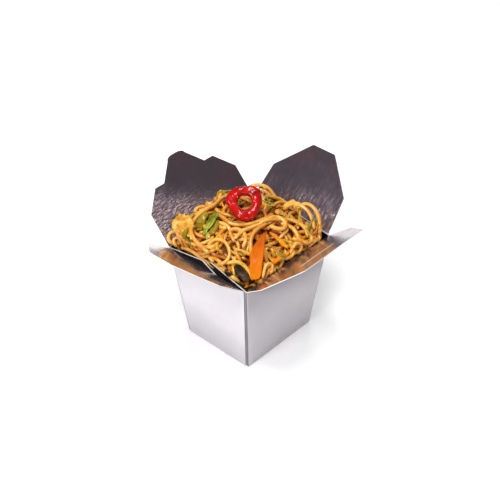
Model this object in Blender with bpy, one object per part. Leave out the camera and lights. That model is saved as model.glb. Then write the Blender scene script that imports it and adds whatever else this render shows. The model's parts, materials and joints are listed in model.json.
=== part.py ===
"""Noodle takeaway box: a folding card carton, open, heaped with stir-fried noodles.

The origin is the middle of the base's underside, +Z is up and X runs along the
wide sides. The carton stands on its base. Its four flaps hinge on the rim's
creases: the tab flap at +Y, the slot flap at -Y and a plain flap at each end.
"""

import math

import bmesh
import bpy
from mathutils import Matrix, Vector
from mathutils.bvhtree import BVHTree

# Driving dimensions of the carton, in metres.
RIM_X = 0.0525
RIM_Y = 0.0442
BASE_X = 0.0408
BASE_Y = 0.0355
HEIGHT = 0.0938
CARD = 0.0006
GAP = 0.0004
CUT_PAST = 0.0020

# A corner in plan: the wide panel folds in behind the end panel's rolled edge.
FOLD_RADIUS = 0.0009
FOLD_DEPTH = 0.0010
GROOVE_END = 0.0031
FOLD_STEPS = 4

# Corner webs: two layers of card folded flat inside each end panel.
WEB = 0.0010
WEB_INSET = 0.0005
WEB_PEAK_Y = 0.0038
WEB_RISE = 0.0078
WEB_END_Y = -0.0217
WEB_DROP = 0.0073
WEB_LEAN = 0.060
WEB_CLEAR_Y = 0.0265
WEB_FLARE = 1.2

# Flap outlines: (half width, distance from the crease), in metres.
FLAP_CREASE = 0.00035
PLAIN_PROFILE = ((0.0425, FLAP_CREASE), (0.0396, 0.0326), (0.0118, 0.0627))
TAB_PROFILE = ((0.0515, FLAP_CREASE), (0.0512, 0.0303), (0.0344, 0.0477))
SLOT_PROFILE = ((0.0515, FLAP_CREASE), (0.0555, 0.0238), (0.0364, 0.0583))
TAB_NECK = 0.0242
TAB_SHOULDER = 0.0100
TAB_STRAIGHT = 0.0148
TAB_HEIGHT = 0.0181
TAB_SQUARE = 0.8
TAB_STEPS = 8
SLOT_HALF = 0.0205
SLOT_WIDTH = 0.0014
SLOT_PLACE = 0.0373

# Each flap's rise above level, in degrees, where it stands open.
TAB_TILT = 47.8
SLOT_TILT = 38.7
PLAIN_BACK_TILT = 46.5
PLAIN_FRONT_TILT = 38.2

# The heap of noodles: a block in the carton, and a dome above the rim.
HEAP_END_INSET = 0.0022
HEAP_SIDE_INSET = 0.0011
HEAP_SECTORS = 88
HEAP_CORNER = 9.0
DOME_CORNER = 3.0
HEAP_EDGE = 0.0105
HEAP_EDGE_X = -0.0020
HEAP_EDGE_Y = 0.0085
HEAP_EDGE_TWIST = -0.0040
HEAP_EDGE_LEAST = 0.0015
HEAP_DOME = 0.0140
DOME_FLATNESS = 2.2
DOME_FULLNESS = 0.8
HEAP_RINGS = 18
RING_SPREAD = 0.9
HEAP_OVERHANG_BACK = 0.0050
HEAP_OVERHANG_END = 0.0045
HEAP_SHOULDER = 0.0030
HEAP_SIDE = ((0.3, 0.15), (0.7, 0.8), (1.0, 1.0))
PRESS_REACHES = (0.0016, 0.0032, 0.0048)
PRESS_TURNS = 14

# The coils of noodle that make the heap uneven, spread by the golden angle.
RELIEF = 0.0016
SIDE_RELIEF = 0.4
STRAND = 0.0024
NEST_COUNT = 34
NEST_REACH = 0.94
NEST_RADIUS = 0.0065
NEST_SPREAD = 0.0045
NEST_RHYTHM = 3.1
NEST_PHASE = 0.4
GOLDEN_ANGLE = math.pi * (3 - math.sqrt(5))

# The pepper ring, and where its middle stands: plan x, plan y, rise over the heap.
PEPPER_RADIUS = 0.0112
PEPPER_WALL = 0.0040
PEPPER_DEPTH = 0.0042
PEPPER_LOBE = 0.07
PEPPER_OVAL = 0.035
PEPPER_WALL_SWELL = 0.18
PEPPER_DEPTH_SWELL = 0.10
PEPPER_WAVE = 0.0010
PEPPER_PHASE = 0.6
PEPPER_SECTORS = 32
PEPPER_SIDES = 10
PEPPER_FACING = Vector((-0.42, -0.39, 0.82))
PEPPER_PLACE = (0.0030, 0.0085, 0.0082)

# Slices: finish, three places (plan x, plan y, rise), half width, half depth, cup.
STRIPS = {
    "carrot_slice": ("carrot", ((-0.0105, -0.0195, 0.0012), (-0.0270, -0.0300, 0.0012),
                                (-0.0370, -0.0385, 0.0000)), 0.0052, 0.0011, 0.0008),
    "carrot_strip_upper": ("carrot", ((0.0010, -0.0213, 0.0012), (0.0030, -0.0300, 0.0014),
                                      (0.0040, -0.0375, 0.0016)), 0.0015, 0.0009, 0.0),
    "carrot_strip_lower": ("carrot", ((0.0020, -0.0410, 0.0016), (-0.0080, -0.0405, 0.0020),
                                      (-0.0185, -0.0400, 0.0012)), 0.0016, 0.0010, 0.0),
    "leek_long": ("leek", ((-0.0100, 0.0290, 0.0012), (-0.0210, 0.0215, 0.0010),
                           (-0.0330, 0.0130, 0.0006)), 0.0036, 0.0010, 0.0014),
    "leek_stick": ("leek", ((0.0090, -0.0400, 0.0012), (0.0170, -0.0405, 0.0016),
                            (0.0255, -0.0410, 0.0016)), 0.0014, 0.0010, 0.0),
    "cabbage_left": ("cabbage", ((-0.0320, 0.0435, 0.0020), (-0.0395, 0.0385, 0.0034),
                                 (-0.0455, 0.0320, 0.0016)), 0.0072, 0.0010, -0.0018),
    "onion_top": ("cabbage", ((-0.0030, 0.0400, 0.0007), (-0.0080, 0.0365, 0.0025),
                              (-0.0130, 0.0320, 0.0009)), 0.0045, 0.0009, -0.0014),
    "mushroom_front": ("mushroom", ((-0.0430, -0.0240, 0.0010), (-0.0430, -0.0310, 0.0016),
                                    (-0.0425, -0.0375, 0.0004)), 0.0030, 0.0012, -0.0008),
}
STRIP_STEPS = 10
STRIP_ACROSS = 5
STRIP_TAPER = 0.45
STRIP_EDGE = 0.45
STRIP_FACING = Vector((-0.42, -0.40, 0.81))

# Finishes: base colour, roughness and how metallic each one is.
FINISHES = {
    "board": ((0.84, 0.81, 0.84), 0.42, 0.0),
    "foil_board": ((0.23, 0.19, 0.22), 0.30, 0.85),
    "noodle": ((0.78, 0.50, 0.20), 0.35, 0.0),
    "pepper_skin": ((0.78, 0.01, 0.02), 0.12, 0.0),
    "carrot": ((0.92, 0.28, 0.01), 0.30, 0.0),
    "leek": ((0.35, 0.50, 0.06), 0.30, 0.0),
    "cabbage": ((0.85, 0.55, 0.22), 0.30, 0.0),
    "mushroom": ((0.10, 0.07, 0.03), 0.30, 0.0),
}


def half_x(z):
    """Half of the carton's outer width along X at height z."""
    return BASE_X + (RIM_X - BASE_X) * z / HEIGHT


def half_y(z):
    """Half of the carton's outer width along Y at height z."""
    return BASE_Y + (RIM_Y - BASE_Y) * z / HEIGHT


def material(name):
    """The Principled material of one finish, made on its first use."""
    result = bpy.data.materials.get(name)
    if result is not None:
        return result
    colour, roughness, metallic = FINISHES[name]
    result = bpy.data.materials.new(name)
    result.use_nodes = True
    shader = result.node_tree.nodes["Principled BSDF"]
    shader.inputs["Base Color"].default_value = (*colour, 1.0)
    shader.inputs["Roughness"].default_value = roughness
    shader.inputs["Metallic"].default_value = metallic
    return result


def add_object(name, shape, finish=None):
    """Make an object of one finish from a bmesh, with its normals facing out."""
    bmesh.ops.recalc_face_normals(shape, faces=shape.faces)
    mesh = bpy.data.meshes.new(name)
    shape.to_mesh(mesh)
    shape.free()
    result = bpy.data.objects.new(name, mesh)
    bpy.context.scene.collection.objects.link(result)
    if finish is not None:
        mesh.materials.append(material(finish))
    return result


def combine(target, helper, operation):
    """Cut target with helper, or join helper to it, and hide the helper."""
    helper.hide_render = True
    helper.display_type = "WIRE"
    modifier = target.modifiers.new(helper.name, "BOOLEAN")
    modifier.operation = operation
    modifier.solver = "EXACT"
    modifier.object = helper


def loft(rings):
    """A closed solid through rings of points, capped at both ends."""
    shape = bmesh.new()
    loops = [[shape.verts.new(point) for point in ring] for ring in rings]
    count = len(loops[0])
    for low, high in zip(loops, loops[1:]):
        for i in range(count):
            j = (i + 1) % count
            shape.faces.new((low[i], low[j], high[j], high[i]))
    shape.faces.new(reversed(loops[0]))
    shape.faces.new(loops[-1])
    return shape


def slab(outline, low, high):
    """A flat solid: an outline in local X and Y, between two local heights."""
    return loft([[(x, y, z) for x, y in outline] for z in (low, high)])


# The carton ---------------------------------------------------------------

def outer_corner():
    """Insets (from the end face, from the wide face) round one outer corner."""
    points = []
    for step in range(FOLD_STEPS + 1):
        turn = math.radians(90.0 * step / FOLD_STEPS)
        points.append((FOLD_DEPTH + FOLD_RADIUS * (1 - math.sin(turn)),
                       FOLD_RADIUS * (1 - math.cos(turn))))
    roll = FOLD_DEPTH / 2
    for step in range(FOLD_STEPS + 1):
        turn = math.radians(180.0 * step / FOLD_STEPS)
        points.append((roll + roll * math.cos(turn),
                       GROOVE_END - roll * math.sin(turn)))
    return points


def inner_corner():
    """Insets round one corner of the carton's hollow."""
    return [(FOLD_DEPTH + CARD, CARD),
            (FOLD_DEPTH + CARD, GROOVE_END + CARD),
            (CARD, GROOVE_END + CARD)]


def plan_ring(corner, z):
    """The four corners' insets placed round the carton's plan at height z."""
    ring = []
    for sign_x, sign_y in ((1, -1), (1, 1), (-1, 1), (-1, -1)):
        points = corner if sign_x != sign_y else corner[::-1]
        for inset_x, inset_y in points:
            ring.append((sign_x * (half_x(z) - inset_x),
                         sign_y * (half_y(z) - inset_y), z))
    return ring


def web_plate(sign_x, sign_y, lean):
    """One folded web: a plate from its corner along the end panel."""
    outline = ((half_y(CARD / 2), CARD / 2),
               (half_y(HEIGHT), HEIGHT),
               (WEB_PEAK_Y, HEIGHT + WEB_RISE),
               (WEB_END_Y, HEIGHT - WEB_DROP))
    rings = []
    for layer in (WEB_INSET, WEB_INSET + WEB):
        ring = []
        for y, z in outline:
            inset = layer + lean * (half_y(min(z, HEIGHT)) - y)
            y_clear = min(y, half_y(z) - CARD / 2)
            ring.append((sign_x * (half_x(z) - inset), sign_y * y_clear, z))
        rings.append(ring)
    return loft(rings)


def build_carton():
    """The base, the four tapering panels and the webs folded in at the ends."""
    outer = outer_corner()
    body = loft([plan_ring(outer, 0.0), plan_ring(outer, HEIGHT)])
    carton = add_object("carton", body, "board")
    inner = inner_corner()
    inside = loft([plan_ring(inner, CARD), plan_ring(inner, HEIGHT + CUT_PAST)])
    combine(carton, add_object("hollow_cutter", inside), "DIFFERENCE")
    for sign_x, end in ((-1, "left"), (1, "right")):
        for sign_y, lean, place in ((1, 0.0, "back"), (-1, WEB_LEAN, "front")):
            plate = add_object(f"web_{end}_{place}", web_plate(sign_x, sign_y, lean))
            combine(carton, plate, "UNION")
    return carton


# The flaps ----------------------------------------------------------------

def mirrored(profile):
    """A whole outline from its right half, going round anticlockwise."""
    return [(x, y) for x, y in profile] + [(-x, y) for x, y in reversed(profile)]


def tab_profile():
    """The right half of the tab flap: its sides, then the rounded tab."""
    edge = TAB_PROFILE[-1][1]
    half = list(TAB_PROFILE) + [(TAB_NECK, edge)]
    crown = TAB_HEIGHT - TAB_STRAIGHT
    for step in range(TAB_STEPS):
        turn = math.radians(90.0 * step / TAB_STEPS)
        half.append((TAB_SHOULDER * math.cos(turn) ** TAB_SQUARE,
                     edge + TAB_STRAIGHT + crown * math.sin(turn)))
    return half


def place_flap(flap, direction, crease, tilt):
    """Set a flap on its crease: local X along it, local Y out, local Z up."""
    yaw = math.atan2(-direction[0], direction[1])
    spot = Vector((direction[0] * crease, direction[1] * crease, HEIGHT))
    turn = Matrix.Rotation(yaw, 4, "Z") @ Matrix.Rotation(math.radians(tilt), 4, "X")
    flap.matrix_world = Matrix.Translation(spot) @ turn


def build_flaps():
    """The four flaps, each with its origin on its crease."""
    plain = mirrored(PLAIN_PROFILE)
    flaps = (("flap_tab", mirrored(tab_profile()), (0, 1), RIM_Y, TAB_TILT),
             ("flap_slot", mirrored(SLOT_PROFILE), (0, -1), RIM_Y, SLOT_TILT),
             ("flap_end_back", plain, (1, 0), RIM_X, PLAIN_BACK_TILT),
             ("flap_end_front", plain, (-1, 0), RIM_X, PLAIN_FRONT_TILT))
    for name, outline, direction, crease, tilt in flaps:
        flap = add_object(name, slab(outline, 0.0, CARD), "foil_board")
        place_flap(flap, direction, crease, tilt)
    near, far = SLOT_PLACE - SLOT_WIDTH / 2, SLOT_PLACE + SLOT_WIDTH / 2
    slit = ((-SLOT_HALF, near), (SLOT_HALF, near), (SLOT_HALF, far), (-SLOT_HALF, far))
    cutter = add_object("slit_cutter", slab(slit, -CUT_PAST, CARD + CUT_PAST))
    place_flap(cutter, (0, -1), RIM_Y, SLOT_TILT)
    combine(bpy.data.objects["flap_slot"], cutter, "DIFFERENCE")


# The heap of noodles ------------------------------------------------------

def nests():
    """Coils of noodle lying on the heap: (x, y, radius) of each, by a fixed rule."""
    result = []
    for k in range(NEST_COUNT):
        reach = NEST_REACH * math.sqrt((k + 0.5) / NEST_COUNT)
        turn = GOLDEN_ANGLE * k
        swing = (1 + math.sin(NEST_RHYTHM * k + NEST_PHASE)) / 2
        result.append((RIM_X * reach * math.cos(turn), RIM_Y * reach * math.sin(turn),
                       NEST_RADIUS + NEST_SPREAD * swing))
    return result


def relief(x, y, coils):
    """Height of the coils' ridges over the dome at a place in plan."""
    height = 0.0
    for centre_x, centre_y, radius in coils:
        off = (math.hypot(x - centre_x, y - centre_y) - radius) / STRAND
        height = max(height, math.exp(-off * off))
    return RELIEF * (2 * height - 1)


def heap_reach(turn, z, lean_out=0.0):
    """Distance from the middle to the heap's side in one direction at height z."""
    size_x = half_x(z) - HEAP_END_INSET
    size_y = half_y(z) - HEAP_SIDE_INSET
    if math.cos(turn) > 0:
        size_x += HEAP_OVERHANG_END * lean_out
    if math.sin(turn) > 0:
        size_y += HEAP_OVERHANG_BACK * lean_out
    across = abs(math.cos(turn) / size_x) ** HEAP_CORNER
    along = abs(math.sin(turn) / size_y) ** HEAP_CORNER
    return (across + along) ** (-1 / HEAP_CORNER)


def clear_of_webs(x, y, z):
    """The point moved in from the end panel until it clears the webs there."""
    inset = HEAP_END_INSET
    if y < WEB_CLEAR_Y:
        along = half_y(min(z, HEIGHT)) + y
        inset = WEB_INSET + WEB + GAP + WEB_LEAN * max(along, 0.0)
    over = max(z - HEIGHT - WEB_RISE - GAP, 0.0)
    limit = half_x(z) - inset + over * WEB_FLARE
    return (max(-limit, min(limit, x)), y, z)


def edge_height(x, y):
    """How far above the rim the heap meets its own side at a place in plan."""
    across, along = x / RIM_X, y / RIM_Y
    level = HEAP_EDGE + HEAP_EDGE_X * across + HEAP_EDGE_Y * along
    return max(level + HEAP_EDGE_TWIST * across * along, HEAP_EDGE_LEAST)


def heap_rings():
    """Rings of the heap from the carton's floor to just below its top."""
    coils = nests()
    turns = [2 * math.pi * k / HEAP_SECTORS for k in range(HEAP_SECTORS)]
    rings = []
    for z in (CARD + GAP, HEIGHT - HEAP_SHOULDER):
        reaches = [heap_reach(turn, z) for turn in turns]
        rings.append([clear_of_webs(r * math.cos(a), r * math.sin(a), z)
                      for r, a in zip(reaches, turns)])
    for part_up, part_out in HEAP_SIDE:
        ring = []
        for turn in turns:
            reach = heap_reach(turn, HEIGHT, part_out)
            x, y = reach * math.cos(turn), reach * math.sin(turn)
            scale = 1 + relief(x, y, coils) * SIDE_RELIEF * part_out / reach
            z = HEIGHT + edge_height(x, y) * part_up
            ring.append(clear_of_webs(x * scale, y * scale, z))
        rings.append(ring)
    for step in range(1, HEAP_RINGS):
        part = (1 - step / HEAP_RINGS) ** RING_SPREAD
        ring = []
        for turn in turns:
            reach = heap_reach(turn, HEIGHT, 1.0) * part
            x, y = reach * math.cos(turn), reach * math.sin(turn)
            ring.append(clear_of_webs(x, y, heap_top(x, y) + relief(x, y, coils)))
        rings.append(ring)
    return rings


def heap_top(x, y):
    """The smooth height of the heap's top at a place in plan."""
    size_x = RIM_X + (HEAP_OVERHANG_END if x > 0 else 0.0)
    size_y = RIM_Y + (HEAP_OVERHANG_BACK if y > 0 else 0.0)
    share = abs(x / size_x) ** DOME_CORNER + abs(y / size_y) ** DOME_CORNER
    share = min(share ** (1 / DOME_CORNER), 1.0)
    rise = HEAP_DOME * (1 - share ** DOME_FLATNESS) ** DOME_FULLNESS
    return HEIGHT + edge_height(x, y) + rise


def on_heap(x, y, rise):
    """A point over a place in plan, at a height above the heap's smooth top."""
    return Vector((x, y, heap_top(x, y) + rise))


def pressed_under(rings, toppings):
    """The heap's rings with its top lowered where a topping lies on it."""
    points, faces = [], []
    for shape in toppings:
        shape.verts.index_update()
        first = len(points)
        points += [vert.co.copy() for vert in shape.verts]
        faces += [[first + vert.index for vert in face.verts] for face in shape.faces]
    tree = BVHTree.FromPolygons(points, faces)
    spots = [(0.0, 0.0)]
    for reach in PRESS_REACHES:
        for k in range(PRESS_TURNS):
            turn = 2 * math.pi * k / PRESS_TURNS
            spots.append((reach * math.cos(turn), reach * math.sin(turn)))
    result = []
    for ring in rings:
        lowered = []
        for x, y, z in ring:
            for step_x, step_y in spots:
                below = Vector((x + step_x, y + step_y, 0))
                hit = tree.ray_cast(below, Vector((0, 0, 1)))[0]
                if hit is not None and z > HEIGHT:
                    z = min(z, hit.z - GAP)
            lowered.append((x, y, z))
        result.append(lowered)
    return result


def build_heap(toppings):
    """The noodles as one solid out to their uneven outline."""
    return add_object("noodles", loft(pressed_under(heap_rings(), toppings)), "noodle")


# The toppings -------------------------------------------------------------

def strip(points, half_width, half_depth, cup):
    """A slice through three points, flat on the heap; cup bends its sides up."""
    start, middle, end = points
    control = 2 * middle - (start + end) / 2
    rings = []
    for step in range(STRIP_STEPS + 1):
        part = step / STRIP_STEPS
        spot = start * (1 - part) ** 2 + control * 2 * part * (1 - part) + end * part ** 2
        along = ((control - start) * (1 - part) + (end - control) * part).normalized()
        side = STRIP_FACING.cross(along).normalized()
        up = along.cross(side)
        width = half_width * (1 - (2 * part - 1) ** 4 * STRIP_TAPER)
        ring = []
        for face in (1, -1):
            for k in range(STRIP_ACROSS):
                across = face * (1 - 2 * k / (STRIP_ACROSS - 1))
                lift = face * half_depth * (1 - STRIP_EDGE * across ** 4) + cup * across ** 2
                ring.append(spot + side * across * width + up * lift)
        rings.append(ring)
    return loft(rings)


def pepper_ring():
    """A slice across a pepper: a thick lobed ring that leans back on the heap."""
    shape = bmesh.new()
    loops = []
    for k in range(PEPPER_SECTORS):
        turn = 2 * math.pi * k / PEPPER_SECTORS
        lobes = math.cos(3 * turn + PEPPER_PHASE)
        radius = PEPPER_RADIUS * (1 + PEPPER_LOBE * lobes + PEPPER_OVAL * math.sin(2 * turn))
        wall = PEPPER_WALL * (1 + PEPPER_WALL_SWELL * lobes)
        depth = PEPPER_DEPTH * (1 + PEPPER_DEPTH_SWELL * math.sin(turn + PEPPER_PHASE))
        wave = PEPPER_WAVE * math.sin(2 * turn + PEPPER_PHASE)
        loop = []
        for i in range(PEPPER_SIDES):
            tilt = 2 * math.pi * i / PEPPER_SIDES
            reach = radius + wall * math.cos(tilt)
            z = depth * math.sin(tilt) + wave
            loop.append(shape.verts.new((reach * math.cos(turn), reach * math.sin(turn), z)))
        loops.append(loop)
    for k, low in enumerate(loops):
        high = loops[(k + 1) % PEPPER_SECTORS]
        for i in range(PEPPER_SIDES):
            j = (i + 1) % PEPPER_SIDES
            shape.faces.new((low[i], high[i], high[j], low[j]))
    lean = Vector((0, 0, 1)).rotation_difference(PEPPER_FACING).to_matrix().to_4x4()
    shape.transform(Matrix.Translation(on_heap(*PEPPER_PLACE)) @ lean)
    return shape


def topping_shapes():
    """Each topping's name, finish and shape."""
    result = [("pepper_ring", "pepper_skin", pepper_ring())]
    for name, (finish, places, half_width, half_depth, cup) in STRIPS.items():
        points = [on_heap(*place) for place in places]
        result.append((name, finish, strip(points, half_width, half_depth, cup)))
    return result


def build_food():
    """The heap of noodles and the pieces of vegetable that lie on it."""
    shapes = topping_shapes()
    build_heap([shape for _, _, shape in shapes])
    for name, finish, shape in shapes:
        add_object(name, shape, finish)


def clear_scene():
    """Remove every object that the scene starts with."""
    for item in list(bpy.data.objects):
        bpy.data.objects.remove(item, do_unlink=True)


clear_scene()
build_carton()
build_flaps()
build_food()
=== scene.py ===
"""The looks of an open noodle takeaway box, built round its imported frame.

Everything is in metres, in the frame's own axes: the origin is the middle of
the base's underside, +Z is up and X runs along the wide sides. The tab flap is
at +Y, the slot flap at -Y and a plain flap at each end.
"""

import json
import logging
import math
from collections.abc import Iterable, Sequence
from dataclasses import dataclass
from enum import Enum
from itertools import product

import bmesh
import bpy
import numpy as np
from mathutils import Matrix, Vector, noise
from mathutils.bvhtree import BVHTree


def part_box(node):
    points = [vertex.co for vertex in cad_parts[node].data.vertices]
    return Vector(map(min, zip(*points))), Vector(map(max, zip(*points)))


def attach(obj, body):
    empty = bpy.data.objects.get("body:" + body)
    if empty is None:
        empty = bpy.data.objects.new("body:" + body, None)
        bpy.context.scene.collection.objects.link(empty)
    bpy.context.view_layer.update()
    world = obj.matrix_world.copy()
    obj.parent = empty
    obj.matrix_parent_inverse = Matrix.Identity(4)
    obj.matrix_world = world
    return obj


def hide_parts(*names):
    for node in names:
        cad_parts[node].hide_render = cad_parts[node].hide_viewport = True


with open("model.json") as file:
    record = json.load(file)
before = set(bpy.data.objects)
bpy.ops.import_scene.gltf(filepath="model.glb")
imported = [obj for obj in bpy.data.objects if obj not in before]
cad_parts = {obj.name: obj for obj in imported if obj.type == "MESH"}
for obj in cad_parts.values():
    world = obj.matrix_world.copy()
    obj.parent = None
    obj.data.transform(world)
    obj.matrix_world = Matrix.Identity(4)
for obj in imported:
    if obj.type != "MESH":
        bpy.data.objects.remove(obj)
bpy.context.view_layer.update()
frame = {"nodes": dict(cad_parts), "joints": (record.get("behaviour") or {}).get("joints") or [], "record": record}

LOG = logging.getLogger("noodle_box")
MM = 0.001
SEED = 11

Colour = tuple[float, float, float]
Point = tuple[float, float, float]
Band = tuple[float, float]
Socket = bpy.types.NodeSocket


# Shader tools -------------------------------------------------------------

class Value:
    """A number that varies over a surface: a shader socket that takes arithmetic."""

    def __init__(self, recipe: "Recipe", socket: Socket) -> None:
        """Wrap one output socket of a recipe's node tree."""
        self.recipe = recipe
        self.socket = socket

    def __add__(self, other: "Value | float") -> "Value":
        """This plus other."""
        return self.recipe.math("ADD", self, other)

    __radd__ = __add__

    def __sub__(self, other: "Value | float") -> "Value":
        """This minus other."""
        return self.recipe.math("SUBTRACT", self, other)

    def __rsub__(self, other: "Value | float") -> "Value":
        """Other minus this."""
        return self.recipe.math("SUBTRACT", other, self)

    def __mul__(self, other: "Value | float") -> "Value":
        """This times other."""
        return self.recipe.math("MULTIPLY", self, other)

    __rmul__ = __mul__

    def __pow__(self, other: "Value | float") -> "Value":
        """This to the power of other."""
        return self.recipe.math("POWER", self, other)

    def clipped(self) -> "Value":
        """This kept between 0 and 1."""
        return self.recipe.math("MINIMUM", self.recipe.math("MAXIMUM", self, 0.0), 1.0)

    def between(self, low: float, high: float) -> "Value":
        """Step smoothly from one place on this value to another.

        Args:
            low: Where the step starts, at 0.
            high: Where it ends, at 1.

        Returns:
            The step.
        """
        node = self.recipe.node("ShaderNodeMapRange", {"interpolation_type": "SMOOTHSTEP"},
                                {"Value": self, "From Min": low, "From Max": high})
        return Value(self.recipe, node.outputs["Result"])


@dataclass(frozen=True)
class Cloud:
    """One size of cloudy noise: its features to the metre and how fine it breaks up."""

    scale: float
    detail: float = 2.0
    rough: float = 0.5
    warp: float = 0.0


class Recipe:
    """A material's node tree and the few ways of adding to it."""

    def __init__(self, name: str) -> None:
        """Start an empty material.

        Args:
            name: The material's name.
        """
        self.material = bpy.data.materials.new(name)
        self.material.use_nodes = True
        self.tree = self.material.node_tree
        self.tree.nodes.clear()

    def node(self, kind: str, settings: dict | None = None,
             sockets: dict | None = None) -> bpy.types.Node:
        """Add one node.

        Args:
            kind: The node's type.
            settings: Its properties; "stops" are a ramp's places and colours.
            sockets: Values or links by the input's name or number.

        Returns:
            The new node.
        """
        made = self.tree.nodes.new(kind)
        for name, value in (settings or {}).items():
            if name == "stops":
                self._stops(made.color_ramp, value)
            else:
                setattr(made, name, value)
        for name, value in (sockets or {}).items():
            self._feed(made.inputs[name], value)
        return made

    def _stops(self, ramp: bpy.types.ColorRamp, stops: Sequence[tuple[float, Colour]]) -> None:
        """Give a ramp its places and colours.

        Args:
            ramp: The ramp.
            stops: A place and a colour for each stop.
        """
        while len(ramp.elements) < len(stops):
            ramp.elements.new(1.0)
        for element, (place, colour) in zip(ramp.elements, stops):
            element.position = place
            element.color = (*colour, 1.0)

    def _feed(self, target: Socket, value: "Value | Socket | float | Sequence[float]") -> None:
        """Link a socket to what feeds it, or set its value.

        Args:
            target: The input socket.
            value: An output to link, or the number or colour to set.
        """
        if isinstance(value, Value):
            self.tree.links.new(value.socket, target)
        elif isinstance(value, bpy.types.NodeSocket):
            self.tree.links.new(value, target)
        elif hasattr(target.default_value, "__len__") and len(target.default_value) == 4:
            target.default_value = (*value, 1.0)
        else:
            target.default_value = value

    def math(self, operation: str, first: "Value | float", second: "Value | float") -> Value:
        """One Math node's result."""
        made = self.node("ShaderNodeMath", {"operation": operation}, {0: first, 1: second})
        return Value(self, made.outputs[0])

    def place(self) -> Socket:
        """Where a point is on its piece, in metres."""
        return self.node("ShaderNodeTexCoord").outputs["Object"]

    def grain(self) -> tuple[Socket, Value]:
        """Read a piece's own grain.

        Returns:
            The grain as a vector, and its third part alone: metres along the piece, metres
            across it and a number of its own.
        """
        vector = self.node("ShaderNodeAttribute", {"attribute_name": "grain"}).outputs["Vector"]
        parts = self.node("ShaderNodeSeparateXYZ", None, {0: vector}).outputs
        return vector, Value(self, parts[2])

    def stretched(self, vector: Socket, scale: Point) -> Socket:
        """A place multiplied by a scale along each axis."""
        made = self.node("ShaderNodeVectorMath", {"operation": "MULTIPLY"}, {0: vector, 1: scale})
        return made.outputs[0]

    def noise(self, vector: Socket, cloud: Cloud) -> Value:
        """Add cloudy noise from 0 to 1.

        Args:
            vector: Where it is read.
            cloud: Its size and kind.

        Returns:
            The noise.
        """
        made = self.node("ShaderNodeTexNoise", None, {
            "Vector": vector, "Scale": cloud.scale, "Detail": cloud.detail,
            "Roughness": cloud.rough, "Distortion": cloud.warp})
        return Value(self, made.outputs[0])

    def cells(self, vector: Socket, scale: float) -> Value:
        """Distance to the nearest of many scattered points."""
        made = self.node("ShaderNodeTexVoronoi", None, {"Vector": vector, "Scale": scale})
        return Value(self, made.outputs["Distance"])

    def ramp(self, value: Value, stops: Sequence[tuple[float, Colour]]) -> Socket:
        """A colour that follows a value."""
        return self.node("ShaderNodeValToRGB", {"stops": stops}, {0: value}).outputs[0]

    def mix(self, factor: "Value | float", first: "Socket | Colour",
            second: "Socket | Colour") -> Socket:
        """Two colours mixed by a factor."""
        inputs = {0: factor, 6: first, 7: second}
        return self.node("ShaderNodeMix", {"data_type": "RGBA"}, inputs).outputs[2]

    def bump(self, height: Value, depth: float) -> Socket:
        """A normal that follows a height of the given depth in metres."""
        sockets = {"Height": height, "Distance": depth, "Strength": 1.0}
        return self.node("ShaderNodeBump", None, sockets).outputs[0]

    def finish(self, **sockets: "Value | Socket | float | Sequence[float]") -> bpy.types.Material:
        """Close the recipe with a Principled shader.

        Args:
            sockets: Its inputs, with _ for a space in the name.

        Returns:
            The finished material.
        """
        named = {name.replace("_", " "): value for name, value in sockets.items()}
        shader = self.node("ShaderNodeBsdfPrincipled", {"subsurface_method": "RANDOM_WALK"}, named)
        self.node("ShaderNodeOutputMaterial", None, {0: shader.outputs[0]})
        return self.material


# Finishes -----------------------------------------------------------------

@dataclass(frozen=True)
class Card:
    """White coated card: nearly flat, with faint fibres under the coating."""

    name: str = "card_white"
    white: Colour = (0.622, 0.590, 0.626)
    shade: Colour = (0.590, 0.558, 0.594)
    cloud: Cloud = Cloud(45.0, 4.0, 0.6)
    fibre: Cloud = Cloud(900.0, 3.0, 0.65)
    clouded: Band = (0.35, 0.75)
    fibre_tint: float = 0.3
    smoothest: float = 0.29
    cloud_rough: float = 0.12
    fibre_rough: float = 0.10
    cloud_relief: float = 0.4
    depth: float = 0.02 * MM

    def material(self) -> bpy.types.Material:
        """Make the card.

        Returns:
            Its material.
        """
        recipe = Recipe(self.name)
        place = recipe.place()
        cloud = recipe.noise(place, self.cloud)
        fibre = recipe.noise(place, self.fibre)
        tint = cloud.between(*self.clouded) * (1 - self.fibre_tint) + fibre * self.fibre_tint
        relief = fibre * (1 - self.cloud_relief) + cloud * self.cloud_relief
        return recipe.finish(
            Base_Color=recipe.mix(tint, self.white, self.shade),
            Roughness=cloud * self.cloud_rough + fibre * self.fibre_rough + self.smoothest,
            Normal=recipe.bump(relief, self.depth))


@dataclass(frozen=True)
class CutEdge:
    """The cut edge of card: bare pressed fibre, a little rougher and warmer."""

    pale: Colour = (0.80, 0.78, 0.77)
    dark: Colour = (0.62, 0.59, 0.57)
    layers: Cloud = Cloud(2600.0)
    layered: Band = (0.45, 0.8)
    smoothest: float = 0.6
    roughening: float = 0.2
    depth: float = 0.03 * MM

    def material(self) -> bpy.types.Material:
        """Make the cut edge.

        Returns:
            Its material.
        """
        recipe = Recipe("card_edge")
        layer = recipe.noise(recipe.place(), self.layers)
        return recipe.finish(
            Base_Color=recipe.mix(layer.between(*self.layered), self.pale, self.dark),
            Roughness=layer * self.roughening + self.smoothest,
            Normal=recipe.bump(layer, self.depth))


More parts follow.
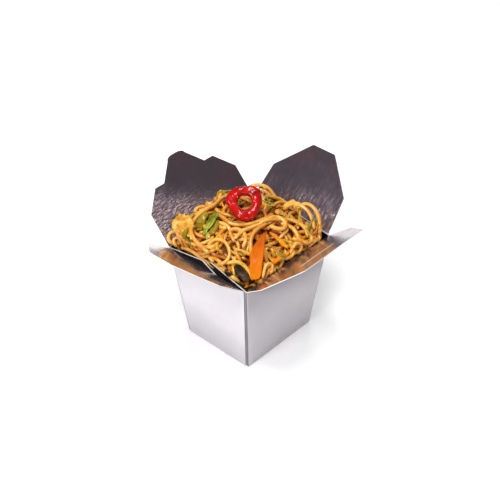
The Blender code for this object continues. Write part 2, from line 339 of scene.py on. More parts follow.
@dataclass(frozen=True)
class Foil:
    """Metal foil on card: a dull dark mirror, smooth in places and crinkled in others, with a pale painted sheen
    on the crinkles.
    """

    name: str
    tone: Colour = (0.255, 0.196, 0.238)
    warm: Colour = (0.300, 0.190, 0.212)
    # A pale colour painted on the crinkles' ridges: painted sheen of light off the foil.
    scuff_sheen: Colour = (0.860, 0.760, 0.850)
    smoothest: float = 0.16
    crinkles: Point = (420.0, 170.0, 1.0)
    depth: float = 0.55 * MM
    everywhere: float = 0.06
    metal: float = 0.92
    cloud: Cloud = Cloud(38.0, 3.0, 0.55)
    smear: Cloud = Cloud(160.0, 3.0)
    fold: Cloud = Cloud(1.0, 3.0, 0.60, 0.9)
    crease_scale: float = 0.9
    patchiness: float = 0.7
    wear_sheen_band: Band = (0.10, 0.95)
    warming: Band = (0.40, 0.70)
    fold_height: float = 0.8
    fold_edge: float = 1.4
    crease_height: float = 0.5
    ridged: Band = (0.35, 0.80)
    flat_scuff_sheen: float = 0.2
    smear_rough: float = 0.16
    wear_rough: float = 0.14

    def material(self) -> bpy.types.Material:
        """Make the foil; its grain is metres from the crease, metres across and how crinkled and rubbed it is,
        which also sets its painted sheen.

        Returns:
            Its material.
        """
        recipe = Recipe(self.name)
        vector, wear_and_sheen = recipe.grain()
        place = recipe.place()
        cloud = recipe.noise(place, self.cloud)
        lines = recipe.stretched(vector, self.crinkles)
        fold = recipe.noise(lines, self.fold)
        crease = recipe.cells(lines, self.crease_scale) * self.crease_height
        worn_and_sheen = (wear_and_sheen + cloud * self.patchiness - self.patchiness / 2).between(*self.wear_sheen_band)
        relief = (fold * self.fold_height + crease) * (worn_and_sheen + self.everywhere)
        ridge = (fold * self.fold_edge - crease).between(*self.ridged)
        bare = recipe.mix(cloud.between(*self.warming), self.tone, self.warm)
        # The crinkles' ridges take the pale colour as painted sheen.
        scuff_sheen_share = (ridge * (1 - self.flat_scuff_sheen) + self.flat_scuff_sheen) * worn_and_sheen
        smear = recipe.noise(place, self.smear)
        return recipe.finish(
            Base_Color=recipe.mix(scuff_sheen_share, bare, self.scuff_sheen), Metallic=self.metal,
            Roughness=smear * self.smear_rough + self.smoothest + worn_and_sheen * self.wear_rough,
            Normal=recipe.bump(relief, self.depth))


@dataclass(frozen=True)
class Moist:
    """How light goes into moist food and shines off it."""

    clear: float = 0.20
    bleed: Colour = (1.0, 0.4, 0.1)
    shine: float = 0.22
    shine_rough: float = 0.10
    gloss: float = 0.07
    bleed_depth: float = 2.0 * MM

    def sockets(self) -> dict[str, "float | Colour"]:
        """Set out the shader's inputs for it.

        Returns:
            Each input's value by its name.
        """
        return {"Subsurface_Weight": self.clear, "Subsurface_Radius": self.bleed,
                "Subsurface_Scale": self.bleed_depth, "Specular_IOR_Level": self.gloss,
                "Coat_Weight": self.shine, "Coat_Roughness": self.shine_rough}


@dataclass(frozen=True)
class Noodle:
    """Fried wheat noodle: golden, a little translucent, coated in thin sauce."""

    pale: Colour = (0.850, 0.470, 0.105)
    golden: Colour = (0.770, 0.315, 0.024)
    sauced: Colour = (0.600, 0.165, 0.006)
    olive: Colour = (0.740, 0.430, 0.040)
    # A darker, redder colour for deep strands: painted shade between the strands.
    deep_shade: Colour = (0.420, 0.110, 0.003)
    patch: Cloud = Cloud(95.0, 3.0, 0.55)
    streak: Cloud = Cloud(1.0)
    streak_scale: Point = (150.0, 350.0, 60.0)
    speck: Cloud = Cloud(1500.0, 2.0, 0.6)
    tinge: Cloud = Cloud(38.0)
    sauce_from: Point = (0.75, 0.45, 0.40)
    saucy: Band = (0.50, 1.00)
    thick_sauce: float = 2.2
    thick_share: float = 0.75
    tinged: Band = (0.48, 0.68)
    tinge_share: float = 0.35
    specked: Band = (0.62, 0.74)
    speck_share: float = 0.35
    deep: Band = (0.40, 0.82)
    deep_shade_share: float = 0.88
    smoothest: float = 0.32
    speck_rough: float = 0.20
    sauce_smooth: float = 0.08
    speck_relief: float = 0.5
    depth: float = 0.12 * MM
    moist: Moist = Moist(0.12, (1.0, 0.45, 0.08), 0.60, 0.13, 0.24)

    def material(self) -> bpy.types.Material:
        """Make the noodle; its grain's number is half its own tone and half how deep it lies, and deep strands
        take painted shade.

        Returns:
            Its material.
        """
        recipe = Recipe("noodle")
        vector, own = recipe.grain()
        place = recipe.place()
        patch = recipe.noise(place, self.patch)
        streak = recipe.noise(recipe.stretched(vector, self.streak_scale), self.streak)
        speck = recipe.noise(place, self.speck)
        by_patch, by_streak, by_own = self.sauce_from
        # Sauce follows random patches and the grain's number, so part of it is painted shade on deep strands.
        sauce = (patch * by_patch + streak * by_streak + own * by_own).between(*self.saucy)
        tinge = recipe.noise(place, self.tinge).between(*self.tinged)
        thick = (sauce ** self.thick_sauce * self.thick_share).clipped()
        base = recipe.mix(sauce, self.pale, self.golden)
        for share, colour in ((tinge * self.tinge_share, self.olive), (thick, self.sauced),
                              (speck.between(*self.specked) * self.speck_share, self.sauced),
                              # Deep strands take the darker colour: painted shade.
                              (own.between(*self.deep) * self.deep_shade_share, self.deep_shade)):
            base = recipe.mix(share, base, colour)
        return recipe.finish(
            Base_Color=base,
            Roughness=speck * self.speck_rough + self.smoothest - sauce * self.sauce_smooth,
            Normal=recipe.bump(speck * self.speck_relief + streak, self.depth),
            **self.moist.sockets())


@dataclass(frozen=True)
class HeapShade:
    """What shows deep between the strands: more noodle, wet and in shade."""

    bright: Colour = (0.330, 0.090, 0.004)
    deep: Colour = (0.100, 0.023, 0.001)
    lump: Cloud = Cloud(260.0, 3.0, 0.6, 0.6)
    lumpy: Band = (0.35, 0.7)
    smoothest: float = 0.5
    roughening: float = 0.2
    gloss: float = 0.2
    depth: float = 1.2 * MM

    def material(self) -> bpy.types.Material:
        """Make the heap's inner mass.

        Returns:
            Its material.
        """
        recipe = Recipe("noodle_shade")
        lump = recipe.noise(recipe.place(), self.lump)
        return recipe.finish(
            Base_Color=recipe.mix(lump.between(*self.lumpy), self.deep, self.bright),
            Roughness=lump * self.roughening + self.smoothest, Specular_IOR_Level=self.gloss,
            Normal=recipe.bump(lump, self.depth))


@dataclass(frozen=True)
class Pepper:
    """A fried ring of red pepper: glossy skin, wrinkled where it has softened."""

    skin: Colour = (0.520, 0.003, 0.002)
    deep: Colour = (0.170, 0.001, 0.001)
    flesh: Colour = (0.480, 0.020, 0.006)
    cloud: Cloud = Cloud(110.0, 4.0, 0.6)
    fine: Cloud = Cloud(700.0, 3.0, 0.6)
    blotched: Band = (0.42, 0.72)
    fleshy: Band = (0.35, 0.75)
    flesh_share: float = 0.8
    smoothest: float = 0.34
    roughening: float = 0.16
    cloud_relief: float = 0.8
    fine_relief: float = 0.15
    depth: float = 0.4 * MM
    moist: Moist = Moist(0.06, (1.0, 0.05, 0.02), 0.45, 0.04, 0.08, 1.5 * MM)

    def material(self) -> bpy.types.Material:
        """Make the pepper; its grain's number is 1 on the inner flesh.

        Returns:
            Its material.
        """
        recipe = Recipe("pepper_skin")
        _, inner = recipe.grain()
        place = recipe.place()
        cloud = recipe.noise(place, self.cloud)
        fine = recipe.noise(place, self.fine)
        skin = recipe.mix(cloud.between(*self.blotched), self.skin, self.deep)
        inside = inner * fine.between(*self.fleshy) * self.flesh_share
        relief = cloud * self.cloud_relief + fine * self.fine_relief
        return recipe.finish(
            Base_Color=recipe.mix(inside, skin, self.flesh),
            Roughness=fine * self.roughening + self.smoothest,
            Normal=recipe.bump(relief, self.depth), **self.moist.sockets())


@dataclass(frozen=True)
class Vegetable:
    """A fried vegetable with fibres along it and tones across it."""

    name: str
    light: Colour
    middle: Colour
    dark: Colour
    moist: Moist = Moist()
    fibre: Cloud = Cloud(1400.0, 3.0, 0.6)
    smoothest: float = 0.19
    along: Point = (0.12, 1.0, 1.0)
    cloud: Cloud = Cloud(150.0, 3.0, 0.55)
    tone_from: Point = (0.55, 0.30, 0.62)
    tone_drop: float = 0.22
    tone_stops: Point = (0.12, 0.50, 0.86)
    roughening: float = 0.22
    fibre_relief: float = 0.6
    cloud_relief: float = 0.7
    depth: float = 0.3 * MM

    def material(self) -> bpy.types.Material:
        """Make the vegetable; its grain's number runs from its dark end to its light one.

        Returns:
            Its material.
        """
        recipe = Recipe(self.name)
        vector, own = recipe.grain()
        fibres = recipe.noise(recipe.stretched(vector, self.along), self.fibre)
        cloud = recipe.noise(recipe.place(), self.cloud)
        by_own, by_cloud, by_fibre = self.tone_from
        tone = (own * by_own + cloud * by_cloud + fibres * by_fibre - self.tone_drop).clipped()
        stops = tuple(zip(self.tone_stops, (self.dark, self.middle, self.light)))
        relief = fibres * self.fibre_relief + cloud * self.cloud_relief
        return recipe.finish(
            Base_Color=recipe.ramp(tone, stops),
            Roughness=fibres * self.roughening + self.smoothest,
            Normal=recipe.bump(relief, self.depth), **self.moist.sockets())


@dataclass(frozen=True)
class TableTop:
    """The plain white light table the box stands on."""

    white: Colour = (0.95, 0.95, 0.95)
    glow: float = 0.28
    cloud: Cloud = Cloud(3.0)
    smoothest: float = 0.28
    roughening: float = 0.04

    def material(self) -> bpy.types.Material:
        """Make the table top.

        Returns:
            Its material.
        """
        recipe = Recipe("table_top")
        cloud = recipe.noise(recipe.place(), self.cloud)
        return recipe.finish(
            Base_Color=self.white, Roughness=cloud * self.roughening + self.smoothest,
            Emission_Color=self.white, Emission_Strength=self.glow)


# A dark copy of the card: painted shade in the front corner's groove.
CARD_GROOVE_SHADE = Card("card_groove_shade", (0.200, 0.185, 0.200), (0.150, 0.138, 0.150))
# Foil of the body's inner walls and corner webs, painted near black as shade.
FOIL_WEB_SHADE = Foil("foil_web_shade", (0.050, 0.042, 0.048), (0.045, 0.034, 0.036))
FOIL_ACROSS = Foil("foil_across", crinkles=(640.0, 230.0, 1.0), depth=1.1 * MM)
FOIL_ALONG = Foil("foil_along", crinkles=(150.0, 430.0, 1.0), depth=0.9 * MM, everywhere=0.14)
# Brighter copies of the foil, the front one warmer: painted reflection of the noodles in the slot and front flaps.
FOIL_SLOT_REFLECTION = Foil("foil_slot_reflection", (0.560, 0.470, 0.520), (0.560, 0.440, 0.470),
                   (0.780, 0.720, 0.760), smoothest=0.07, depth=0.4 * MM, everywhere=0.02)
FOIL_FRONT_REFLECTION = Foil("foil_front_reflection", (0.760, 0.620, 0.600), (0.640, 0.500, 0.500),
                  (0.820, 0.760, 0.790), smoothest=0.07, depth=0.4 * MM, everywhere=0.02)
CARROT = Vegetable("carrot", (0.720, 0.195, 0.001), (0.620, 0.130, 0.001), (0.400, 0.055, 0.001),
                   Moist(0.04, (1.0, 0.20, 0.01), 0.04), smoothest=0.39)
CARROT_PALE = Vegetable("carrot_pale", (0.900, 0.360, 0.006), (0.860, 0.260, 0.003),
                        (0.600, 0.120, 0.001), Moist(0.06, (1.0, 0.30, 0.02), 0.2))
LEEK = Vegetable("leek", (0.600, 0.560, 0.100), (0.210, 0.240, 0.010), (0.035, 0.070, 0.003),
                 Moist(0.08, (0.6, 1.0, 0.1)))
GREENS = Vegetable("leek_pale", (0.760, 0.460, 0.060), (0.450, 0.280, 0.013),
                   (0.180, 0.135, 0.005), Moist(bleed=(0.9, 0.9, 0.1)),
                   Cloud(900.0, 3.0, 0.6))
CABBAGE = Vegetable("cabbage", (0.880, 0.570, 0.150), (0.780, 0.380, 0.055),
                    (0.480, 0.180, 0.012), Moist(0.25, (1.0, 0.6, 0.10)),
                    Cloud(700.0, 3.0, 0.6))
MUSHROOM = Vegetable("mushroom", (0.120, 0.058, 0.020), (0.032, 0.015, 0.005),
                     (0.008, 0.004, 0.002), Moist(0.0))


# Mesh tools ---------------------------------------------------------------

WELD = 0.01 * MM
COPLANAR_DEG = 0.5
LOOKS_UP = 0.3
CURVE_STEPS = 12
ANY_SIDE = (0.31, 0.52, 0.79)


def in_scene(name: str, data: bpy.types.ID) -> bpy.types.Object:
    """Put an object with the given mesh, lamp or camera in the scene.

    Args:
        name: The object's name.
        data: What it holds.

    Returns:
        The object.
    """
    made = bpy.data.objects.new(name, data)
    bpy.context.scene.collection.objects.link(made)
    return made


def add_piece(name: str, points: np.ndarray, faces: list,
              grain: np.ndarray | None = None) -> bpy.types.Object:
    """Make a smooth object from points and faces.

    Args:
        name: The object's name.
        points: Its vertices, one row each.
        faces: Lists of vertex numbers.
        grain: For each vertex, metres along and across the piece and its own number.

    Returns:
        The object, linked to the scene.
    """
    mesh = bpy.data.meshes.new(name)
    mesh.from_pydata([tuple(p) for p in points], [], faces)
    if grain is not None:
        store_grain(mesh, grain)
    mesh.shade_smooth()
    return in_scene(name, mesh)


def store_grain(mesh: bpy.types.Mesh, grain: np.ndarray) -> None:
    """Keep each vertex's grain on the mesh, where materials read it."""
    layer = mesh.attributes.new("grain", "FLOAT_VECTOR", "POINT")
    layer.data.foreach_set("vector", np.asarray(grain, np.float32).ravel())


def distances(line: np.ndarray) -> np.ndarray:
    """How far along a line each of its steps is."""
    return np.concatenate([[0.0], np.cumsum(np.linalg.norm(np.diff(line, axis=0), axis=1))])


def curve_through(points: Sequence[Point] | np.ndarray, spacing: float) -> np.ndarray:
    """Even steps along a smooth curve through some points.

    Args:
        points: The places the curve passes, in order.
        spacing: The distance between steps, in metres.

    Returns:
        The steps, one row each.
    """
    p = np.asarray(points, float)
    p = np.vstack([2 * p[0] - p[1], p, 2 * p[-1] - p[-2]])
    dense = []
    for a, b, c, d in zip(p, p[1:], p[2:], p[3:]):
        for t in np.linspace(0.0, 1.0, CURVE_STEPS, endpoint=False):
            dense.append(0.5 * (2 * b + (c - a) * t + (2 * a - 5 * b + 4 * c - d) * t * t
                                + (3 * b - a - 3 * c + d) * t ** 3))
    dense.append(p[-2])
    line = np.array(dense)
    reach = distances(line)
    count = max(int(round(reach[-1] / spacing)), 2) + 1
    wanted = np.linspace(0.0, reach[-1], count)
    return np.stack([np.interp(wanted, reach, line[:, k]) for k in range(3)], axis=1)


class TubeMesh:
    """Many round strands gathered into one mesh."""

    def __init__(self, sides: int) -> None:
        """Start with no strands.

        Args:
            sides: How many sides each strand's section has.
        """
        self.sides = sides
        self.points: list[np.ndarray] = []
        self.faces: list[tuple[int, ...]] = []
        self.grain: list[np.ndarray] = []
        self.total = 0

    def add(self, line: np.ndarray, radius: np.ndarray, own: float, flat: float = 1.0,
            side: Sequence[float] = ANY_SIDE) -> None:
        """Sweep a round or flattened section along a line and close its ends.

        Args:
            line: The strand's middle line.
            radius: Half the section's width at each step.
            own: The strand's own number, from 0 to 1.
            flat: The section's thickness as a share of its width.
            side: A direction that the section's thin way faces at the start.
        """
        along = np.gradient(line, axis=0)
        along /= np.linalg.norm(along, axis=1)[:, None]
        side = np.cross(along[0], side)
        reach = distances(line)
        turns = np.linspace(0.0, 2 * math.pi, self.sides, endpoint=False)
        rings, grain = [], []
        for k, direction in enumerate(along):
            side = side - direction * (side @ direction)
            side = side / np.linalg.norm(side)
            up = np.cross(direction, side)
            ring = line[k] + radius[k] * (np.outer(np.cos(turns), side)
                                          + flat * np.outer(np.sin(turns), up))
            rings.append(ring)
            width = radius[k] * np.abs(turns - math.pi)
            grain.append(np.stack([np.full(self.sides, reach[k]), width,
                                   np.full(self.sides, own)], axis=1))
        last = self.total + (len(rings) - 1) * self.sides
        for low in range(self.total, last, self.sides):
            high = low + self.sides
            for i in range(self.sides):
                j = (i + 1) % self.sides
                self.faces.append((low + i, low + j, high + j, high + i))
        self.faces.append(tuple(self.total + i for i in reversed(range(self.sides))))
        self.faces.append(tuple(last + i for i in range(self.sides)))
        self.points.append(np.vstack(rings))
        self.grain.append(np.vstack(grain))
        self.total += len(rings) * self.sides

    def piece(self, name: str) -> bpy.types.Object:
        """All strands as one object."""
        return add_piece(name, np.vstack(self.points), self.faces, np.vstack(self.grain))


def rounded_ends(count: int, spacing: float, radius: float, blunt: float = 0.05) -> np.ndarray:
    """Radii along a strand that close in a round tip at each end.

    Args:
        count: How many steps the strand has.
        spacing: The distance between steps.
        radius: The strand's radius between its tips.
        blunt: The square of the share of it that is left at the very end.

    Returns:
        The radius at each step.
    """
    reach = np.arange(count) * spacing
    part = np.clip(np.minimum(reach, reach[::-1]) / radius, 0.0, 1.0)
    return radius * np.sqrt(np.clip(1 - (1 - part) ** 2, blunt, 1.0))


def shape_of(node: str) -> bmesh.types.BMesh:
    """Copy a node's own shape as an editable mesh, joined up where its faces meet.

    Args:
        node: The node's name.

    Returns:
        The copy.
    """
    shape = bmesh.new()
    shape.from_mesh(frame["nodes"][node].data)
    bmesh.ops.remove_doubles(shape, verts=shape.verts, dist=WELD)
    shape.normal_update()
    return shape


def inner_face(shape: bmesh.types.BMesh) -> bmesh.types.BMFace:
    """A flap's foil face: its largest one that looks up and in."""
    return max((f for f in shape.faces if f.normal.z > LOOKS_UP), key=lambda f: f.calc_area())


def flat_faces(shape: bmesh.types.BMesh) -> None:
    """Join triangles that lie in one plane into whole faces."""
    bmesh.ops.dissolve_limit(shape, angle_limit=math.radians(COPLANAR_DEG), verts=shape.verts,
                             edges=shape.edges)


def cut_along(shape: bmesh.types.BMesh, axis: Vector, start: float, stop: float,
              step: float) -> None:
    """Cut a shape's faces by planes across an axis.

    Args:
        shape: What is cut.
        axis: The way from one plane to the next.
        start: The first plane's distance along it.
        stop: The last plane's distance along it.
        step: The distance between planes.
    """
    for k in range(int((stop - start) / step) + 1):
        geometry = shape.verts[:] + shape.edges[:] + shape.faces[:]
        bmesh.ops.bisect_plane(shape, geom=geometry, plane_co=axis * (start + k * step),
                               plane_no=axis, dist=WELD / 10)


def to_piece(shape: bmesh.types.BMesh, name: str, materials: Iterable[bpy.types.Material],
             crease: float) -> bpy.types.Object:
    """Turn an edited mesh into an object.

    Args:
        shape: The mesh, which is used up.
        name: The object's name.
        materials: Its materials, in the order of its faces' numbers.
        crease: The angle, in degrees, over which its edges stay sharp.

    Returns:
        The object.
    """
    mesh = bpy.data.meshes.new(name)
    shape.to_mesh(mesh)
    shape.free()
    mesh.shade_smooth()
    mesh.set_sharp_from_angle(angle=math.radians(crease))
    for material in materials:
        mesh.materials.append(material)
    return in_scene(name, mesh)


# The carton ---------------------------------------------------------------

class CardFace(Enum):
    """Which side of the sheet a face belongs to, as its material's number."""

    WHITE = 0
    FOIL = 1
    EDGE = 2
    # Painted shade in the front corner's groove.
    SEAM = 3


@dataclass
class Carton:
    """The tapering body: white outside, foil inside painted dark as shade, with its folded corner webs."""

    materials: list[bpy.types.Material]
    node: str = "carton"
    skin: float = 1.15 * MM
    card: float = 0.6 * MM
    edge_width: float = 1.3 * MM
    groove: float = 3.4 * MM
    base_top: float = 0.2 * MM
    rim_band: float = 1.0 * MM
    rim_top: float = 0.05 * MM
    facing_out: float = 0.2
    edge_rise: float = 0.25
    edge_turn: float = 0.6
    sharp_deg: float = 40.0
    bead: float = 0.42 * MM
    bead_step: float = 2.0 * MM
    bead_gap: float = 1.2 * MM
    bead_sides: int = 10

    def build(self) -> list[bpy.types.Object]:
        """Dress the carton's own shape and add its creases.

        Returns:
            The body and the four crease beads.
        """
        shape = shape_of(self.node)
        self.height = frame["joints"][0]["pos_m"][2]
        self.foot = [max(abs(v.co[k]) for v in shape.verts if v.co.z < MM) for k in (0, 1)]
        self.rim = [max(abs(j["pos_m"][k]) for j in frame["joints"]) for k in (0, 1)]
        for face in shape.faces:
            face.material_index = self.side_of(face).value
        body = to_piece(shape, "carton_body", self.materials, self.sharp_deg)
        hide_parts(self.node)
        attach(body, "box")
        return [body] + self.creases()

    def half(self, axis: int, z: float) -> float:
        """Half of the body's width along an axis at height z."""
        share = min(max(z / self.height, 0.0), 1.0)
        return self.foot[axis] + (self.rim[axis] - self.foot[axis]) * share

    def side_of(self, face: bmesh.types.BMFace) -> CardFace:
        """Tell whether a face is white outside, foil inside, a cut edge or the front corner's groove, painted dark
        as shade.

        Args:
            face: One of the body's faces.

        Returns:
            Its side.
        """
        middle = face.calc_center_median()
        insets = [self.half(k, middle.z) - abs(middle[k]) for k in (0, 1)]
        inset = min(insets)
        outward = face.normal.x * middle.x / self.rim[0] + face.normal.y * middle.y / self.rim[1]
        if middle.z < self.base_top:
            return CardFace.WHITE
        if self.card / 3 < inset < self.card and max(insets) < self.groove \
                and outward > self.facing_out and middle.z < self.height - self.rim_band:
            # Only the front corner's groove is painted dark, as shade; the others stay white.
            return CardFace.SEAM if middle.x < 0 and middle.y < 0 else CardFace.WHITE
        if middle.z > self.height - self.rim_top or inset > self.skin:
            narrow = face.calc_area() < self.edge_width * max(e.calc_length() for e in face.edges)
            steep = abs(face.normal.z) > self.edge_rise or abs(face.normal.y) > self.edge_turn
            return CardFace.EDGE if narrow and steep else CardFace.FOIL
        return CardFace.WHITE if outward > 0 else CardFace.FOIL

    def creases(self) -> list[bpy.types.Object]:
        """Add a soft rounded ridge along each crease that a flap turns on.

        Returns:
            The ridges.
        """
        made = []
        for joint in frame["joints"]:
            low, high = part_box(frame["record"]["behaviour"]["bodies"][joint["child"]][0])
            axis, spot = Vector(joint["axis"]), Vector(joint["pos_m"])
            along = 0 if abs(axis.x) > abs(axis.y) else 1
            reach = min(self.rim[along] - self.bead_gap, (high[along] - low[along]) / 2)
            ends = [spot + axis * reach * sign for sign in (-1, -0.5, 0, 0.5, 1)]
            tube = TubeMesh(self.bead_sides)
            line = curve_through([tuple(p) for p in ends], self.bead_step)
            tube.add(line, rounded_ends(len(line), self.bead_step, self.bead), 0.5)
            bead = tube.piece(f"crease_{joint['child']}")
            bead.data.materials.append(self.materials[CardFace.WHITE.value])
            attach(bead, "box")
            made.append(bead)
        return made


@dataclass
class Flap:
    """One flap: card that is white outside and foil inside, a little curled."""

    body: str
    materials: list[bpy.types.Material]
    wear_sheen_near: float
    wear_sheen_far: float
    wear_sheen_side: float = 0.0
    curl: float = 0.45 * MM
    curl_ease: float = 0.4
    wave: float = 0.16 * MM
    wave_across: float = 5.0
    wave_along: float = 3.0
    cell: float = 4.0 * MM
    level: float = 0.5
    sharp_deg: float = 50.0

    def build(self) -> bpy.types.Object:
        """Dress the flap's own shape on its crease.

        Returns:
            The flap.
        """
        node = frame["record"]["behaviour"]["bodies"][self.body][0]
        joint = next(j for j in frame["joints"] if j["child"] == self.body)
        shape = shape_of(node)
        flat_faces(shape)
        to_flat = self.laid_flat(shape, Vector(joint["pos_m"]), Vector(joint["axis"]))
        shape.transform(to_flat)
        reach = max(v.co.y for v in shape.verts)
        width = max(abs(v.co.x) for v in shape.verts)
        cut_along(shape, Vector((1, 0, 0)), -width, width, self.cell)
        cut_along(shape, Vector((0, 1, 0)), self.cell / 2, reach, self.cell)
        shape.normal_update()
        for face in shape.faces:
            turned = CardFace.FOIL if face.normal.z > 0 else CardFace.WHITE
            flat = abs(face.normal.z) > self.level
            face.material_index = (turned if flat else CardFace.EDGE).value
        grain = []
        for vert in shape.verts:
            along, across = vert.co.y / reach, vert.co.x / width
            # The third grain number sets how crinkled and rubbed the foil is, and its painted sheen.
            wear_and_sheen = self.wear_sheen_near + (self.wear_sheen_far - self.wear_sheen_near) * along
            wear_and_sheen += self.wear_sheen_side * across
            grain.append((vert.co.y, vert.co.x, wear_and_sheen))
            vert.co.z += self.curl * along ** 2 * (1 - self.curl_ease * across ** 2)
            vert.co.z += self.wave * along * math.sin(self.wave_across * across
                                                      + self.wave_along * along)
        shape.transform(to_flat.inverted())
        made = to_piece(shape, f"card_{node}", self.materials, self.sharp_deg)
        store_grain(made.data, np.array(grain))
        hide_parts(node)
        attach(made, self.body)
        return made

    def laid_flat(self, shape: bmesh.types.BMesh, spot: Vector, crease: Vector) -> Matrix:
        """Find the turn that lays the flap out flat.

        Args:
            shape: The flap's shape where it stands.
            spot: A place on its crease.
            crease: The crease's direction.

        Returns:
            The turn, to X along the crease, Y out from it and Z up from the foil.
        """
        axis = crease.normalized()
        normal = inner_face(shape).normal.copy()
        out = axis.cross(normal).normalized()
        middle = sum((v.co for v in shape.verts), Vector()) / len(shape.verts)
        if (middle - spot).dot(out) < 0:
            out = -out
        return Matrix((axis, out, normal)).to_4x4() @ Matrix.Translation(-spot)


# The heap of noodles ------------------------------------------------------

# Strands that stand out on the heap, each by places along it, in millimetres.
LOOPS: dict[str, tuple[Point, ...]] = {
    "big_loop": ((12, 36, 118), (2, 34, 121), (-10, 31, 121.5), (-22, 31, 122), (-33, 31, 119),
                 (-43, 26, 116), (-48, 17, 113.5), (-49.5, 7, 111.5), (-49, -1, 109)),
    "ring_low": ((-48, -5, 101.5), (-48, 2, 105), (-43, 6, 111), (-37, 3.5, 114.5),
                 (-34.5, -4, 115), (-37, -12, 110.5), (-43, -16, 106.5), (-47, -13, 103.5),
                 (-48, -9, 102.5)),
    "ring_left": ((-44, 32, 103), (-47.5, 37, 98.5), (-51.5, 43, 99.5), (-50, 46.5, 103.5),
                  (-45, 44, 107), (-41, 37, 108), (-42, 29, 107), (-46, 23, 104),
                  (-49.5, 17, 101)),
    "ring_left_inner": ((-50.5, 35, 98), (-51, 39, 101), (-48.5, 40, 104), (-46, 35, 105),
                        (-47, 28, 103), (-50, 23, 100)),
    "under_pepper": ((-16, 24, 120), (-17, 14, 120.5), (-17, 5, 118.5), (-10, -3, 117.5),
                     (0, -7, 117), (10, -9, 116.5), (20, -8, 115.5)),
    "under_pepper_low": ((-28, -9, 116), (-20, -8, 117.5), (-11, -9, 117.5), (-2, -11, 117.5),
                         (8, -14, 116.5), (16, -13, 116)),
    "beside_pepper": ((-4, 30, 118), (1, 36, 118.5), (8, 41, 119), (15, 41, 117),
                      (20, 36, 116)),
    "behind_pepper": ((28, 30, 112), (38, 38, 110), (46, 36, 111), (50, 27, 112),
                      (49, 18, 109), (46, 10, 106)),
    "behind_fill": ((20, 34, 112), (27, 31, 112), (33, 25, 111), (37, 18, 109), (38, 10, 108)),
    "behind_fill_low": ((42, 33, 106), (36, 30, 108), (31, 22, 110), (30, 14, 111)),
    "behind_inner": ((30, 24, 112), (38, 28, 113), (43, 22, 113), (44, 15, 109)),
    "arch_arc": ((30, 2, 113), (40, 3, 112), (47, -2, 109), (48, -10, 106.5), (43, -18, 106),
                 (34, -24, 106), (27, -29, 106)),
    "arch_high": ((36, -5, 109), (42, -9, 114), (44, -16, 116), (45, -24, 114),
                  (44, -31, 108), (42, -35, 100)),
    "arch_outer": ((43, -13, 111), (47, -19, 117), (48, -26, 118), (48, -33, 113),
                   (46, -38, 104), (43, -40, 98)),
    "left_of_carrot": ((-36, -34, 97), (-28, -29, 103), (-22, -21, 111), (-15, -16, 116),
                       (-5, -14, 117), (5, -14, 117)),
    "right_of_carrot": ((-30, -42, 94), (-28, -41, 99), (-23, -39, 103), (-18, -40, 102),
                        (-18, -42, 96), (-22, -42.5, 92)),
    "small_loop": ((4, -42, 98), (7, -40.5, 103), (13, -40, 105), (18, -41, 102),
                   (17, -42, 97), (12, -42, 95)),
    "long_right": ((-2, -12, 118), (10, -14, 117.5), (20, -18, 115), (29, -24, 111),
                   (33, -32, 106), (30, -38, 100)),
    "mid_right": ((16, -20, 114), (22, -28, 110), (20, -36, 104), (12, -38, 102)),
    "front_left": ((-47, -8, 101), (-44, -16, 105), (-38, -24, 106), (-36, -32, 100),
                   (-38, -38, 95)),
    "web_loop": ((-46, -18, 92), (-48.5, -21, 96), (-49.5, -25, 99.5), (-48.5, -29, 98),
                 (-46, -31, 93)),
    "ring_mid": ((6, -14, 117), (12, -12, 117.5), (18, -16, 116.5), (19, -23, 113.5),
                 (13, -26, 112.5), (7, -22, 114.5), (5, -17, 116)),
    "ring_centre": ((-28, -10, 114), (-27, -4, 116.5), (-23, 0, 118), (-18, -3, 118),
                    (-17, -9, 117), (-21, -15, 114.5), (-27, -17, 111)),
    "spill_right": ((14, -34, 106), (18, -39, 105), (23, -43.5, 101), (29, -43.5, 98.5),
                    (33, -39, 102)),
    "spill_mid": ((-9, -36, 104), (-6, -41, 102), (-1, -43.5, 98.5), (5, -43.5, 97.5),
                  (9, -41, 101), (8, -36, 105)),
    "left_wall": ((-48.5, 32, 98), (-50, 22, 102), (-49.5, 10, 101), (-49, -3, 98),
                  (-47.5, -14, 97)),
}


class Outline:
    """The heap's outer surface, which strands are kept inside."""

    def __init__(self, node: str) -> None:
        """Read the surface from the heap's own shape.

        Args:
            node: The heap's node.
        """
        shape = shape_of(node)
        self.tree = BVHTree.FromBMesh(shape)
        self.triangles = [([v.co.copy() for v in f.verts], f.normal.copy(), f.calc_area())
                          for f in shape.faces]
        shape.free()

    def nearest(self, points: np.ndarray) -> tuple[np.ndarray, np.ndarray]:
        """Find the closest places on the surface, and its outward normals there.

        Args:
            points: Places, one row each.

        Returns:
            The closest places and the normals, one row each.
        """
        places, normals = np.empty_like(points), np.empty_like(points)
        for k, point in enumerate(points):
            place, normal, _, _ = self.tree.find_nearest(Vector(point))
            places[k], normals[k] = place, normal
        return places, normals

    def scatter(self, count: int, above: float, random: np.random.Generator) -> list[tuple]:
        """Choose random places on the surface above a height, evenly by area.

        Args:
            count: How many places.
            above: The lowest height.
            random: The source of chance.

        Returns:
            For each, the place and the normal.
        """
        high = [t for t in self.triangles if sum(p.z for p in t[0]) / len(t[0]) > above]
        areas = np.array([t[2] for t in high])
        chosen = random.choice(len(high), size=count, p=areas / areas.sum())
        result = []
        for k in chosen:
            corners, normal, _ = high[k]
            share = random.dirichlet([1.0] * len(corners))
            place = sum((c * s for c, s in zip(corners, share)), Vector())
            result.append((np.array(place), np.array(normal)))
        return result


